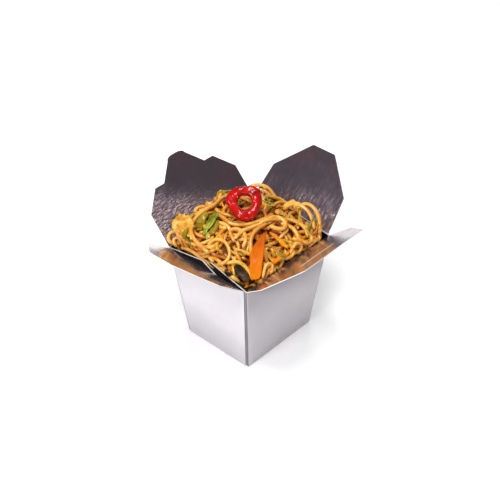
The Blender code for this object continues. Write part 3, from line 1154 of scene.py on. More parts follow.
class Swing:
    """The faces of the flaps swung in as far as they go, which food stays clear of."""

    def __init__(self) -> None:
        """Work out where each flap's foil face lies at its inward limit."""
        self.planes: list[tuple[np.ndarray, np.ndarray]] = []
        for joint in frame["joints"]:
            node = frame["record"]["behaviour"]["bodies"][joint["child"]][0]
            shape = shape_of(node)
            flat_faces(shape)
            face = inner_face(shape)
            turn = Matrix.Rotation(math.radians(max(joint["range_deg"])), 3, Vector(joint["axis"]))
            spot = Vector(joint["pos_m"])
            middle = spot + turn @ (face.calc_center_median() - spot)
            self.planes.append((np.array(middle), np.array(turn @ face.normal)))
            shape.free()

    def cleared(self, points: np.ndarray, margin: float) -> np.ndarray:
        """Move in the points that a flap would reach.

        Args:
            points: Places, one row each.
            margin: The room that each needs in front of the flaps.

        Returns:
            The points, each moved by what is missing.
        """
        points = np.array(points)
        for place, normal in self.planes:
            short = np.maximum(margin - (points - place) @ normal, 0.0)
            points += normal * short[:, None]
        return points


def close_pairs(points: np.ndarray, reach: float) -> tuple[np.ndarray, np.ndarray]:
    """Find pairs of points no further apart than about reach.

    Args:
        points: Places, one row each.
        reach: The size of the search cells.

    Returns:
        The first and the second of each pair, as row numbers.
    """
    cells = np.floor(points / reach).astype(np.int64)
    cells -= cells.min(axis=0) - 1
    span = cells.max(axis=0) + 2
    key = (cells[:, 0] * span[1] + cells[:, 1]) * span[2] + cells[:, 2]
    order = np.argsort(key, kind="stable")
    ordered = key[order]
    numbers = np.arange(len(points))
    firsts, seconds = [], []
    for dx, dy, dz in product((-1, 0, 1), repeat=3):
        wanted = key + (dx * span[1] + dy) * span[2] + dz
        low = np.searchsorted(ordered, wanted, "left")
        count = np.searchsorted(ordered, wanted, "right") - low
        first = np.repeat(numbers, count)
        offset = np.arange(count.sum()) - np.repeat(np.cumsum(count) - count, count)
        second = order[np.repeat(low, count) + offset]
        keep = first < second
        firsts.append(first[keep])
        seconds.append(second[keep])
    return np.concatenate(firsts), np.concatenate(seconds)


@dataclass(frozen=True)
class Curl:
    """How a strand wanders: its bends are in turns to the metre, in radians."""

    length_from: float = 0.7
    length_to: float = 1.3
    first_bend: float = 60.0
    keep_bend: float = 0.86
    new_bend: float = 42.0
    most_bend: float = 150.0
    follow: float = 0.3
    rise_below: float = 1.5 * MM
    rise: float = 0.3


@dataclass(frozen=True)
class Settling:
    """How strands come to rest: rounds, pushes and how far they give way."""

    rounds: int = 150
    look_again: int = 5
    look_reach: float = 1.35
    next_steps: int = 4
    tiny: float = 1e-6
    firm_share: float = 0.15
    push: float = 0.6
    most_push: float = 0.8 * MM
    pull_back: float = 0.5
    length_rounds: int = 2
    length_fix: float = 0.7
    bend_fix: float = 0.30
    lift: float = 0.5
    drop: float = 0.03 * MM
    smooth_rounds: int = 3
    smooth: float = 0.35


@dataclass
class NoodleHeap:
    """Strands of noodle that lie over and under each other out to the heap's outline."""

    node: str = "noodles"
    radius: float = 1.68 * MM
    spacing: float = 2.3 * MM
    press: float = 0.93
    poke: float = 0.55 * MM
    deepest: float = 9.5 * MM
    room: float = 0.6 * MM
    below_rim: float = 2.0 * MM
    loop_hold: float = 0.35
    layers: tuple[tuple[int, float, float], ...] = (
        (36, 0.100, 7.0 * MM), (46, 0.100, 4.2 * MM), (44, 0.085, 2.0 * MM))
    curl: Curl = Curl()
    settling: Settling = Settling()
    sides: int = 10
    mesh_step: float = 1.5 * MM
    girth: Band = (0.90, 1.06)
    flatness: Band = (0.86, 1.0)
    swell: float = 0.05
    swell_size: float = 5.0 * MM
    full_turn: float = 6.28
    shade_from: float = 0.9 * MM
    shade_full: float = 3.8 * MM
    core_rounds: int = 8
    core_smooth: float = 0.5
    core_sink: float = 5.2 * MM
    core_below_rim: float = 12.0 * MM
    all_smooth_deg: float = 180.0
    noodle: Noodle = Noodle()
    shade: HeapShade = HeapShade()

    def build(self) -> list[bpy.types.Object]:
        """Lay the strands, let them settle and sweep them into a mesh.

        Returns:
            The inner mass and the strands.
        """
        self.outline = Outline(self.node)
        self.swing = Swing()
        self.rim = frame["joints"][0]["pos_m"][2]
        self.random = np.random.default_rng(SEED)
        strands_piece = self.sweep(self.settle(*self.lay()))
        core = self.inner_mass()
        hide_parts(self.node)
        for piece in (core, strands_piece):
            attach(piece, "box")
        return [core, strands_piece]

    def lay(self) -> tuple[list[np.ndarray], list[float]]:
        """Start every strand: the wandering ones in layers and the chosen loops on top.

        Returns:
            Each strand's steps, and how firmly it keeps its place.
        """
        strands, holds = [], []
        for count, length, depth in self.layers:
            above = self.rim - self.below_rim
            for place, normal in self.outline.scatter(count, above, self.random):
                strands.append(self.wander(place, normal, length, depth))
                holds.append(0.0)
        for points in LOOPS.values():
            strands.append(curve_through(np.array(points) * MM, self.spacing))
            holds.append(self.loop_hold)
        return strands, holds

    def wander(self, place: np.ndarray, normal: np.ndarray, length: float,
               depth: float) -> np.ndarray:
        """Lead a strand that curls as it wanders under the heap's surface.

        Args:
            place: Where on the surface it starts.
            normal: The surface's normal there.
            length: About how long it is.
            depth: How deep under the surface it lies.

        Returns:
            Its steps.
        """
        curl = self.curl
        heading = np.cross(normal, self.random.normal(size=3))
        heading /= np.linalg.norm(heading)
        longer = self.random.uniform(curl.length_from, curl.length_to)
        steps = int(length * longer / self.spacing)
        bend = self.random.normal() * curl.first_bend
        line = []
        for _ in range(steps):
            found, away, _, _ = self.outline.tree.find_nearest(Vector(place))
            normal = (1 - curl.follow) * normal + curl.follow * np.array(away)
            normal /= np.linalg.norm(normal)
            line.append(np.array(found) - normal * depth)
            if found.z < self.rim - curl.rise_below and heading[2] < 0:
                heading[2] = abs(heading[2]) + curl.rise
            bend = curl.keep_bend * bend + self.random.normal() * curl.new_bend
            bend = max(-curl.most_bend, min(curl.most_bend, bend))
            heading = heading - normal * (heading @ normal)
            heading = heading + np.cross(normal, heading) * bend * self.spacing
            heading /= np.linalg.norm(heading)
            place = np.array(found) + heading * self.spacing
        return np.array(line)

    def settle(self, strands: list[np.ndarray], holds: list[float]) -> list[np.ndarray]:
        """Push strands apart until they rest against each other and keep their curves.

        Args:
            strands: Each strand's steps.
            holds: How firmly each strand keeps its place, from 0 to 1.

        Returns:
            The strands' steps once they have settled.
        """
        how = self.settling
        counts = [len(s) for s in strands]
        owner = np.repeat(np.arange(len(strands)), counts)
        index = np.concatenate([np.arange(c) for c in counts])
        points = np.vstack(strands)
        start = points.copy()
        hold = np.repeat(np.array(holds), counts)[:, None]
        share = 1.0 - (1.0 - how.firm_share) * (hold > 0)
        link = np.flatnonzero(owner[:-1] == owner[1:])
        inner = np.flatnonzero((owner[:-2] == owner[2:])) + 1
        length = np.linalg.norm(points[link + 1] - points[link], axis=1)
        lean = (points[inner - 1] + points[inner + 1]) / 2 - points[inner]
        apart = 2 * self.radius * self.press
        for turn in range(how.rounds):
            if turn % how.look_again == 0:
                first, second = close_pairs(points, apart * how.look_reach)
                steps = np.abs(index[first] - index[second])
                near = (owner[first] == owner[second]) & (steps < how.next_steps)
                first, second = first[~near], second[~near]
                place, normal = self.outline.nearest(points)
            move = self.pushed(points, first, second, share, apart)
            size = np.linalg.norm(move, axis=1)[:, None]
            size = np.maximum(size, how.tiny * MM)
            points = points + move * np.minimum(how.push, how.most_push / size)
            self.keep_curves(points, link, inner, length, lean, share)
            self.keep_inside(points, place, normal, hold)
            points += (start - points) * hold * how.pull_back
            points = self.swing.cleared(points, self.radius + self.room)
        return np.split(self.smoothed(points, inner), np.cumsum(counts)[:-1])

    def pushed(self, points: np.ndarray, first: np.ndarray, second: np.ndarray,
               share: np.ndarray, apart: float) -> np.ndarray:
        """Work out how far touching strands push each other.

        Args:
            points: All the steps.
            first: One step of each close pair.
            second: The other.
            share: How easily each step gives way.
            apart: How far apart two strands lie when they rest against each other.

        Returns:
            Each step's move.
        """
        gap = points[first] - points[second]
        distance = np.maximum(np.linalg.norm(gap, axis=1), self.settling.tiny)
        push = np.maximum(apart - distance, 0.0)[:, None] * gap / distance[:, None]
        weight = share[first] + share[second]
        move = np.zeros_like(points)
        for k in range(3):
            move[:, k] += np.bincount(first, (push * share[first] / weight)[:, k], len(points))
            move[:, k] -= np.bincount(second, (push * share[second] / weight)[:, k], len(points))
        return move

    def keep_curves(self, points: np.ndarray, link: np.ndarray, inner: np.ndarray,
                    length: np.ndarray, lean: np.ndarray, share: np.ndarray) -> None:
        """Give each strand back its length and its own bends.

        Args:
            points: All the steps, which are moved.
            link: The steps that have a next one.
            inner: The steps that have one on each side.
            length: How far each linked step was from its next one.
            lean: How far the middle of its neighbours was from each inner step.
            share: How easily each step gives way.
        """
        for _ in range(self.settling.length_rounds):
            span = points[link + 1] - points[link]
            size = np.maximum(np.linalg.norm(span, axis=1), self.settling.tiny * MM)
            fix = (0.5 * (size - length) / size)[:, None] * span
            points[link] += self.settling.length_fix * fix
            points[link + 1] -= self.settling.length_fix * fix
        now = (points[inner - 1] + points[inner + 1]) / 2 - points[inner]
        points[inner] += self.settling.bend_fix * (now - lean) * share[inner]

    def keep_inside(self, points: np.ndarray, place: np.ndarray, normal: np.ndarray,
                    hold: np.ndarray) -> None:
        """Keep loose strands just under the outline, drawn down onto each other.

        Args:
            points: All the steps, which are moved.
            place: The outline's closest place to each.
            normal: The outline's normal there.
            hold: How firmly each step keeps its place.
        """
        out = ((points - place) * normal).sum(axis=1)[:, None]
        limit = -(self.radius - self.poke)
        loose = hold == 0
        points -= normal * np.maximum(out - limit, 0.0) * loose
        points += normal * np.maximum(-self.deepest - out, 0.0) * self.settling.lift * loose
        points[:, 2:] -= self.settling.drop * loose

    def smoothed(self, points: np.ndarray, inner: np.ndarray) -> np.ndarray:
        """Take small kinks out of the strands.

        Args:
            points: All the steps.
            inner: The steps that have one on each side.

        Returns:
            The steps.
        """
        for _ in range(self.settling.smooth_rounds):
            middle = (points[inner - 1] + points[inner + 1]) / 2
            points[inner] += self.settling.smooth * (middle - points[inner])
        return points

    def sweep(self, strands: list[np.ndarray]) -> bpy.types.Object:
        """Turn each strand into a round noodle of uneven thickness.

        Args:
            strands: Each strand's steps.

        Returns:
            All the strands as one piece.
        """
        tube = TubeMesh(self.sides)
        for line in strands:
            fine = curve_through(line, self.mesh_step)
            radius = rounded_ends(len(fine), self.mesh_step, self.radius)
            wave = self.random.uniform(0, self.full_turn)
            girth = self.random.uniform(*self.girth)
            steps = np.arange(len(fine)) * self.mesh_step
            radius = radius * girth * (1 + self.swell * np.sin(steps / self.swell_size + wave))
            tube.add(fine, radius, self.random.uniform(), self.random.uniform(*self.flatness))
        points, grain = np.vstack(tube.points), np.vstack(tube.grain)
        place, normal = self.outline.nearest(points)
        depth = ((place - points) * normal).sum(axis=1)
        # How deep a strand lies under the heap's outline, which paints it darker as shade.
        sunk_shade = np.clip((depth - self.shade_from) / (self.shade_full - self.shade_from), 0.0, 1.0)
        grain[:, 2] = (grain[:, 2] + sunk_shade) / 2
        piece = add_piece("noodle_strands", points, tube.faces, grain)
        piece.data.materials.append(self.noodle.material())
        return piece

    def inner_mass(self) -> bpy.types.Object:
        """Make the dark mass under the strands, drawn in from the heap's outline.

        Returns:
            The mass.
        """
        shape = shape_of(self.node)
        for _ in range(self.core_rounds):
            bmesh.ops.smooth_vert(shape, verts=shape.verts, factor=self.core_smooth,
                                  use_axis_x=True, use_axis_y=True, use_axis_z=True)
        shape.normal_update()
        for vert in shape.verts:
            if vert.co.z > self.rim - self.core_below_rim:
                vert.co -= vert.normal * self.core_sink
        return to_piece(shape, "noodle_core", [self.shade.material()],
                        self.all_smooth_deg)


# Toppings -----------------------------------------------------------------

RUMPLE_REACH = 1.6
RUMPLE_APART = 1.7


def rumple(place: Vector, size: float, seed: float) -> float:
    """A soft uneven height from about -1 to 1, with features of the given size."""
    away = Vector((seed, RUMPLE_APART * seed, -seed))
    return RUMPLE_REACH * noise.noise(place / size + away)


@dataclass
class Topping:
    """A slice of vegetable: its own shape, softened, wrinkled and given a grain."""

    node: str
    slot: str
    material: bpy.types.Material
    toward: Point = (1.0, 0.0, 0.0)
    ripple: float = 0.35 * MM
    ripple_size: float = 4.0 * MM
    fine_ripple: float = 0.35
    fine_size: float = 0.4
    fine_seed: int = 3
    ring: bool = False
    inward: float = 0.0
    aside: Point = (0.0, 0.0, 0.0)
    tip: float = 0.0
    tip_bend: float = 2.6
    tip_narrow: float = 0.75
    soften: float = 0.6
    sharp_deg: float = 75.0

    def build(self) -> bpy.types.Object:
        """Dress the slice.

        Returns:
            The slice.
        """
        shape = shape_of(self.node)
        bmesh.ops.subdivide_edges(shape, edges=shape.edges[:], cuts=1, use_grid_fill=True,
                                  smooth=self.soften)
        shape.normal_update()
        shape.verts.index_update()
        points = np.array([v.co for v in shape.verts])
        normals = np.array([v.normal for v in shape.verts])
        middle = points.mean(axis=0)
        _, _, axes = np.linalg.svd(points - middle, full_matrices=False)
        if axes[0] @ self.toward < 0:
            axes[0] = -axes[0]
        if axes[1] @ self.aside < 0:
            axes[1] = -axes[1]
        flat = (points - middle) @ axes.T
        drawn = self.drawn_out(flat) @ axes + np.array(self.aside)
        tone = (flat[:, 0] - flat[:, 0].min()) / np.ptp(flat[:, 0])
        if self.ring:
            spread = flat[:, :2] / np.linalg.norm(flat[:, :2], axis=1)[:, None]
            tone = np.clip(-(normals @ axes[:2].T * spread).sum(axis=1), 0.0, 1.0)
        seed = float(len(self.node))
        for vert in shape.verts:
            height = rumple(vert.co, self.ripple_size, seed)
            height += self.fine_ripple * rumple(vert.co, self.ripple_size * self.fine_size,
                                                seed + self.fine_seed)
            vert.co += vert.normal * (self.ripple * height + self.inward * tone[vert.index])
            vert.co += Vector(drawn[vert.index])
        made = to_piece(shape, f"slice_{self.node}", [self.material], self.sharp_deg)
        store_grain(made.data, np.stack([flat[:, 0], flat[:, 1], tone], axis=1))
        softened = made.modifiers.new("softened", "SUBSURF")
        softened.levels = softened.render_levels = 1
        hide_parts(self.node)
        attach(made, "box")
        return made

    def drawn_out(self, flat: np.ndarray) -> np.ndarray:
        """Work out how far each point moves when the near end is drawn out to a point.

        Args:
            flat: The points along, across and through the slice.

        Returns:
            The moves, in the same three directions.
        """
        share = np.clip(flat[:, 0] / flat[:, 0].min(), 0.0, 1.0) ** self.tip_bend
        moves = np.zeros_like(flat)
        if self.tip:
            moves[:, 0] = -self.tip * share
            moves[:, 1] = self.tip_narrow * share * (flat[:, 1].max() - flat[:, 1])
        return moves


class Bed:
    """What small bits lie on: the strands and the mass under them."""

    above: float = 9 * MM
    look: float = 20 * MM
    lowest: float = 3 * MM
    even: tuple[float, ...] = (0.2,) * 5

    def __init__(self, pieces: Sequence[bpy.types.Object], outline: Outline,
                 swing: Swing) -> None:
        """Gather the surfaces of the pieces.

        Args:
            pieces: What makes up the bed.
            outline: The heap's outer surface.
            swing: What the flaps need kept clear.
        """
        self.swing = swing
        points: list[Vector] = []
        faces: list[tuple[int, ...]] = []
        for piece in pieces:
            base = len(points)
            points.extend(v.co.copy() for v in piece.data.vertices)
            faces.extend(tuple(base + i for i in f.vertices) for f in piece.data.polygons)
        self.tree = BVHTree.FromPolygons(points, faces)
        self.outline = outline

    def height(self, place: Vector, normal: Vector) -> float:
        """How far the bed stands out from a place along a normal."""
        hit, _, _, away = self.tree.ray_cast(place + normal * self.above, -normal, self.look)
        return self.above - away if hit is not None else -self.lowest

    def evened(self, heights: np.ndarray) -> np.ndarray:
        """Heights along a line with their steps evened out."""
        return np.convolve(np.pad(heights, len(self.even) // 2, "edge"), self.even, "valid")

    def lay(self, line: np.ndarray, width: float, sink: float) -> tuple[np.ndarray, np.ndarray]:
        """Bring a flat strip down onto the bed.

        Args:
            line: Steps near the heap's surface.
            width: How wide the strip is.
            sink: How far it presses in.

        Returns:
            The line as it lies, and the way that faces away from the bed.
        """
        places, normals = self.outline.nearest(line)
        beside = np.cross(normals, np.gradient(line, axis=0))
        beside *= width / 3 / np.linalg.norm(beside, axis=1)[:, None]
        heights = np.array([max(self.height(Vector(p + b * k), Vector(n)) for k in (-1, 0, 1))
                            for p, b, n in zip(places, beside, normals)])
        raised = self.evened(np.maximum(heights, self.evened(heights)))
        laid = self.swing.cleared(places + normals * (raised - sink)[:, None], width / 2)
        return laid, normals.mean(axis=0)


# Shreds laid at listed places: kind, width, then places along it, all in millimetres.
SHREDS: tuple[tuple[str, float, tuple[Point, ...]], ...] = (
    ("greens", 7.0, ((-22, 28, 121), (-31, 25, 120), (-39, 19, 118))),
    ("greens", 5.5, ((-22, 15, 120), (-31, 12, 118), (-38, 9, 116))),
    ("greens", 4.5, ((-46, 31, 114), (-48, 26, 112), (-49, 20, 110))),
    ("greens", 3.4, ((13, 36, 118), (7, 39, 118), (0, 38, 119))),
    ("greens", 4.0, ((38, -20, 110), (37, -27, 107), (34, -33, 104))),
    ("greens", 3.6, ((-10, -34, 105), (-8, -38, 101), (-5, -41, 98))),
    ("greens", 3.2, ((6, -30, 108), (10, -34, 105), (12, -39, 101))),
    ("greens", 3.0, ((-43, -22, 106), (-40, -29, 101), (-39, -35, 97))),
    ("greens", 3.2, ((-40, 0, 114), (-42, -5, 112), (-43, -10, 110))),
    ("leek", 1.6, ((-17, 22, 121), (-21, 18, 120), (-24, 14, 119))),
    ("leek", 2.4, ((-26, 22, 120), (-33, 18, 119), (-39, 13, 118))),
    ("leek", 1.8, ((-28, 16, 119), (-35, 13, 118), (-43, 9, 115))),
    ("leek", 1.3, ((-21, 25, 121), (-28, 24, 121), (-36, 21, 119))),
    ("leek", 2.6, ((-48, 29, 113), (-49, 23, 111), (-49, 18, 109))),
    ("cabbage", 3.4, ((-45, 31, 115), (-47, 25, 114), (-48, 18, 113))),
    ("leek", 3.6, ((25, 12, 118), (28, 6, 118), (29, 0, 116))),
    ("leek", 2.0, ((34, 14, 116), (34, 8, 116), (33, 1, 115))),
    ("leek", 2.4, ((9, 38, 118), (14, 38, 117), (18, 36, 116))),
    ("leek", 1.8, ((43, -25, 106), (40, -31, 104), (36, -37, 101))),
    ("leek", 1.5, ((45, -27, 103), (45, -32, 100), (44, -37, 97))),
    ("leek", 1.5, ((31, -31, 104), (33, -36, 102), (33, -40, 100))),
    ("cabbage", 3.8, ((-7, -35, 101), (-1, -38, 101), (5, -39, 100))),
    ("leek", 2.2, ((1, -38, 101), (-5, -41, 100), (-10, -41, 99))),
    ("cabbage", 3.2, ((-14, -31, 107), (-13, -36, 103), (-12, -40, 99))),
    ("cabbage", 2.8, ((-12, -26, 109), (-6, -29, 107), (-1, -32, 105))),
    ("carrot", 2.8, ((24, -30, 106), (25, -34, 104), (26, -39, 100))),
    ("carrot", 2.2, ((-2, 29, 119), (-7, 23, 121), (-12, 17, 122))),
    ("carrot", 2.2, ((-32, 5, 117), (-34, 1, 116), (-35, -3, 114))),
    ("carrot", 2.4, ((10, 30, 119), (5, 27, 121), (0, 24, 122))),
    ("carrot", 1.8, ((2, -18, 112), (1, -22, 110), (-1, -25, 108))),
    ("cabbage", 6.5, ((30, -3, 113), (30, -10, 113), (28, -17, 112))),
    ("cabbage", 5.0, ((37, -5, 113), (41, -9, 111), (44, -14, 108))),
    ("cabbage", 5.0, ((36, -15, 110), (33, -21, 110), (30, -27, 109))),
    ("mushroom", 3.6, ((-49, -26, 98), (-50, -22, 101), (-49, -18, 102))),
    ("mushroom", 4.6, ((-49, -34, 96), (-46, -38, 97.5), (-41, -41, 96))),
    ("mushroom", 3.6, ((-50, -30, 96), (-48, -33, 98), (-45, -36, 99))),
    ("carrot", 1.6, ((-33, -24, 104), (-33, -27, 102), (-32, -30, 100))),
    ("cabbage", 2.6, ((-19, -42, 98), (-18, -42.5, 93), (-17, -42, 88))),
)


@dataclass
class Shreds:
    """Thin cut shreds of one vegetable, at listed places in some spots and scattered in others."""

    kind: str
    slot: str
    material: bpy.types.Material
    seed: int
    scattered: int
    length: Band
    width: Band
    sides: int = 8
    step: float = 0.8 * MM
    thickness: float = 1.0 * MM
    thickest: float = 0.8
    proud: float = 0.25 * MM
    sink: Band = (-0.2, 0.6)
    bow: float = 0.5
    square: float = 3.5
    blunt: float = 0.03
    uneven: float = 0.14
    waves: Band = (5, 11)
    start: Band = (0, 6)

    def build(self, bed: Bed) -> bpy.types.Object:
        """Lay the shreds on the bed.

        Args:
            bed: What they lie on.

        Returns:
            All the shreds of this kind.
        """
        self.random = np.random.default_rng(SEED + self.seed)
        tube = TubeMesh(self.sides)
        for kind, width, places in SHREDS:
            if kind == self.kind:
                self.place(tube, bed, np.array(places) * MM, width * MM, -self.proud)
        rim = frame["joints"][0]["pos_m"][2]
        for place, normal in bed.outline.scatter(self.scattered, rim, self.random):
            heading = np.cross(normal, self.random.normal(size=3))
            heading *= self.random.uniform(*self.length) / np.linalg.norm(heading) / 2
            bow = np.cross(normal, heading) * self.random.uniform(-self.bow, self.bow)
            ends = np.array([place - heading, place + bow, place + heading])
            self.place(tube, bed, ends, self.random.uniform(*self.width),
                       self.random.uniform(*self.sink) * MM)
        made = tube.piece(f"shreds_{self.kind}")
        made.data.materials.append(self.material)
        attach(made, "box")
        return made

    def place(self, tube: TubeMesh, bed: Bed, points: np.ndarray, width: float,
              sink: float) -> None:
        """Lay one shred.

        Args:
            tube: The mesh that it joins.
            bed: What it lies on.
            points: The places it passes.
            width: How wide it is.
            sink: How far it presses in.
        """
        laid, away = bed.lay(curve_through(points, self.step), width, sink)
        share = np.linspace(0.0, 1.0, len(laid))
        taper = np.sqrt(np.clip(1 - np.abs(2 * share - 1) ** self.square, self.blunt, 1.0))
        uneven = 1 + self.uneven * np.sin(share * self.random.uniform(*self.waves)
                                          + self.random.uniform(*self.start))
        thick = min(self.thickness / width, self.thickest)
        tube.add(laid, width / 2 * taper * uneven, self.random.uniform(), thick, away)


@dataclass
class Leaf:
    """A thin crumpled leaf that lies over the strands and stands up in folds."""

    name: str
    node: str
    slot: str
    material: bpy.types.Material
    middle: Point
    reach: tuple[float, float]
    turn: float
    crumple: float
    fold_size: float = 6.0 * MM
    fine_fold: float = 0.4
    fine_size: float = 0.35
    fine_seed: int = 5
    middle_tone: float = 0.5
    fold_tone: float = 0.6
    thickness: float = 0.7 * MM
    thin_edge: float = 0.6
    thin_late: int = 4
    lift: float = 0.4 * MM
    droop: float = 0.55
    lowest: float = 0.6 * MM
    swell: float = 0.75
    flat_middle: float = 0.4
    ribs: float = 0.0
    rib_size: float = 0.32 * MM
    corners: float = 3.0
    ragged: float = 0.10
    notch: float = 0.45
    hole: float = 0.02
    rings: int = 12
    spokes: int = 44

    def build(self, bed: Bed) -> bpy.types.Object:
        """Lay the leaf on the bed.

        Args:
            bed: What it lies on.

        Returns:
            The leaf.
        """
        places, normals = bed.outline.nearest(np.array([self.middle]) * MM)
        normal = Vector(normals[0]).normalized()
        along = Vector((math.cos(self.turn), math.sin(self.turn), 0.0))
        along = (along - normal * along.dot(normal)).normalized()
        across = normal.cross(along)
        upper, lower, grain = [], [], []
        seed = float(len(self.name)) + self.turn
        for ring, spoke in product(range(self.rings + 1), range(self.spokes)):
            out = ring / self.rings
            x, y, share = self.spot(out, 2 * math.pi * spoke / self.spokes, seed)
            flat = Vector(places[0]) + along * x + across * y
            spot = Vector(bed.outline.nearest(np.array([flat]))[0][0])
            base = max(bed.height(spot, normal), -self.lowest)
            fold = rumple(flat, self.fold_size, seed)
            fold += self.fine_fold * rumple(flat, self.fold_size * self.fine_size,
                                            seed + self.fine_seed)
            fold += self.ribs * math.sin(y / self.rib_size)
            raised = self.flat_middle + (1 - self.flat_middle) * share
            height = base * self.droop + self.lift + self.crumple * (self.swell + fold) * raised
            thick = self.thickness * (1.0 - self.thin_edge * out ** self.thin_late)
            place = spot + normal * height
            upper.append(place + normal * thick / 2)
            lower.append(place - normal * thick / 2)
            tone = self.middle_tone + self.fold_tone * fold
            grain.append((x, y, min(max(tone, 0.0), 1.0)))
        skins = bed.swing.cleared(np.array(upper + lower), self.thickness)
        return self.closed(skins, grain)

    def spot(self, out: float, angle: float, seed: float) -> tuple[float, float, float]:
        """Find a place on the leaf laid flat.

        Args:
            out: How far it is from the middle, from 0 to 1 at the edge.
            angle: The way it lies from the middle.
            seed: The leaf's own number.

        Returns:
            Its distance along and across the leaf, and its share of the leaf's reach.
        """
        c, d = math.cos(angle), math.sin(angle)
        edge = (abs(c) ** self.corners + abs(d) ** self.corners) ** (-1 / self.corners)
        edge *= 1 + self.ragged * rumple(Vector((c, d, 0.0)), self.notch, seed)
        share = max(out, self.hole) * edge
        return c * share * self.reach[0], d * share * self.reach[1], share

    def closed(self, skins: np.ndarray, grain: list[Point]) -> bpy.types.Object:
        """Close the two skins along the leaf's edge.

        Args:
            skins: The upper skin's points, then the lower one's.
            grain: The grain at each point of one skin.

        Returns:
            The leaf.
        """
        count = len(grain)
        faces = []
        for ring, spoke in product(range(self.rings), range(self.spokes)):
            a, b = ring * self.spokes + spoke, ring * self.spokes + (spoke + 1) % self.spokes
            c, d = b + self.spokes, a + self.spokes
            faces.append((a, d, c, b))
            faces.append((count + a, count + b, count + c, count + d))
        edge = self.rings * self.spokes
        for spoke in range(self.spokes):
            a, b = edge + spoke, edge + (spoke + 1) % self.spokes
            faces.append((b, a, count + a, count + b))
        faces.append(tuple(range(self.spokes)))
        faces.append(tuple(count + i for i in reversed(range(self.spokes))))
        made = add_piece(self.name, skins, faces, np.array(grain * 2))
        made.data.materials.append(self.material)
        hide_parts(self.node)
        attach(made, "box")
        return made


# The studio ---------------------------------------------------------------

@dataclass(frozen=True)
class Lamp:
    """A round soft light: where it hangs round the box, how wide it is and how strong."""

    name: str
    azimuth: float
    elevation: float
    away: float
    size: float
    power: float


@dataclass
class Studio:
    """The white table, the soft lights and the camera."""

    azimuth: float = -47.54
    elevation: float = 37.47
    roll: float = 0.10
    distance: float = 0.968
    target: Point = (0.0089, 0.0078, 0.0754)
    lens: float = 81.35
    sensor: float = 36.0
    nearest: float = 0.01
    furthest: float = 50.0
    floor_size: float = 6.0
    floor_drop: float = 0.1 * MM
    lamps: tuple[Lamp, ...] = (
        Lamp("key", -86.0, 31.0, 1.3, 0.45, 9.8), Lamp("top", -50.0, 80.0, 2.0, 0.75, 28.5),
        Lamp("front", -84.0, 7.0, 1.6, 0.80, 4.2), Lamp("back", 128.0, 48.0, 1.4, 0.90, 2.8))
    sky: Colour = (1.0, 1.0, 1.0)
    sky_strength: float = 0.16

    def build(self) -> None:
        """Set the table, the lights, the sky and the camera."""
        self.build_floor()
        self.build_lights()
        self.build_sky()
        self.build_camera()

    def direction(self, azimuth: float, elevation: float) -> Vector:
        """The way from the box to a place round it; azimuth 0 is at -Y."""
        a, e = math.radians(azimuth), math.radians(elevation)
        return Vector((math.sin(a) * math.cos(e), -math.cos(a) * math.cos(e), math.sin(e)))

    def build_floor(self) -> None:
        """Lay a plain white table top under the box."""
        half = self.floor_size / 2
        corners = np.array([(-half, -half, 0), (half, -half, 0), (half, half, 0), (-half, half, 0)])
        floor = add_piece("table_top", corners - (0, 0, self.floor_drop), [(0, 1, 2, 3)])
        floor.data.materials.append(TableTop().material())

    def build_lights(self) -> None:
        """Hang a key at the left, one light above, a low one in front and one behind."""
        for lamp in self.lamps:
            light = bpy.data.lights.new(lamp.name, "AREA")
            light.shape = "DISK"
            light.size = lamp.size
            light.energy = lamp.power
            holder = in_scene(lamp.name, light)
            back = self.direction(lamp.azimuth, lamp.elevation)
            holder.location = Vector(self.target) + back * lamp.away
            holder.rotation_euler = (-back).to_track_quat("-Z", "Y").to_euler()

    def build_sky(self) -> None:
        """Make an even pale sky, shown with plain colours."""
        world = bpy.data.worlds.new("studio")
        bpy.context.scene.world = world
        world.use_nodes = True
        sky = world.node_tree.nodes["Background"]
        sky.inputs["Color"].default_value = (*self.sky, 1.0)
        sky.inputs["Strength"].default_value = self.sky_strength
        bpy.context.scene.view_settings.view_transform = "Standard"

    def build_camera(self) -> None:
        """Set the camera above the front corner of the box."""
        camera = in_scene("camera", bpy.data.cameras.new("camera"))
        camera.data.lens, camera.data.sensor_width = self.lens, self.sensor
        camera.data.clip_start, camera.data.clip_end = self.nearest, self.furthest
        back = self.direction(self.azimuth, self.elevation)
        camera.location = Vector(self.target) + back * self.distance
        turn = (-back).to_track_quat("-Z", "Y").to_matrix()
        camera.rotation_euler = (turn @ Matrix.Rotation(math.radians(self.roll), 3, "Z")).to_euler()
        bpy.context.scene.camera = camera


# The box ------------------------------------------------------------------

class Vegetables:
    """The materials that slices, leaves and shreds share."""

    def __init__(self) -> None:
        """Make each of them once."""
        self.pepper = Pepper().material()
        self.carrot = CARROT.material()
        self.leek = LEEK.material()
        self.cabbage = CABBAGE.material()
        self.mushroom = MUSHROOM.material()
        self.strip = CARROT_PALE.material()
        self.greens = GREENS.material()


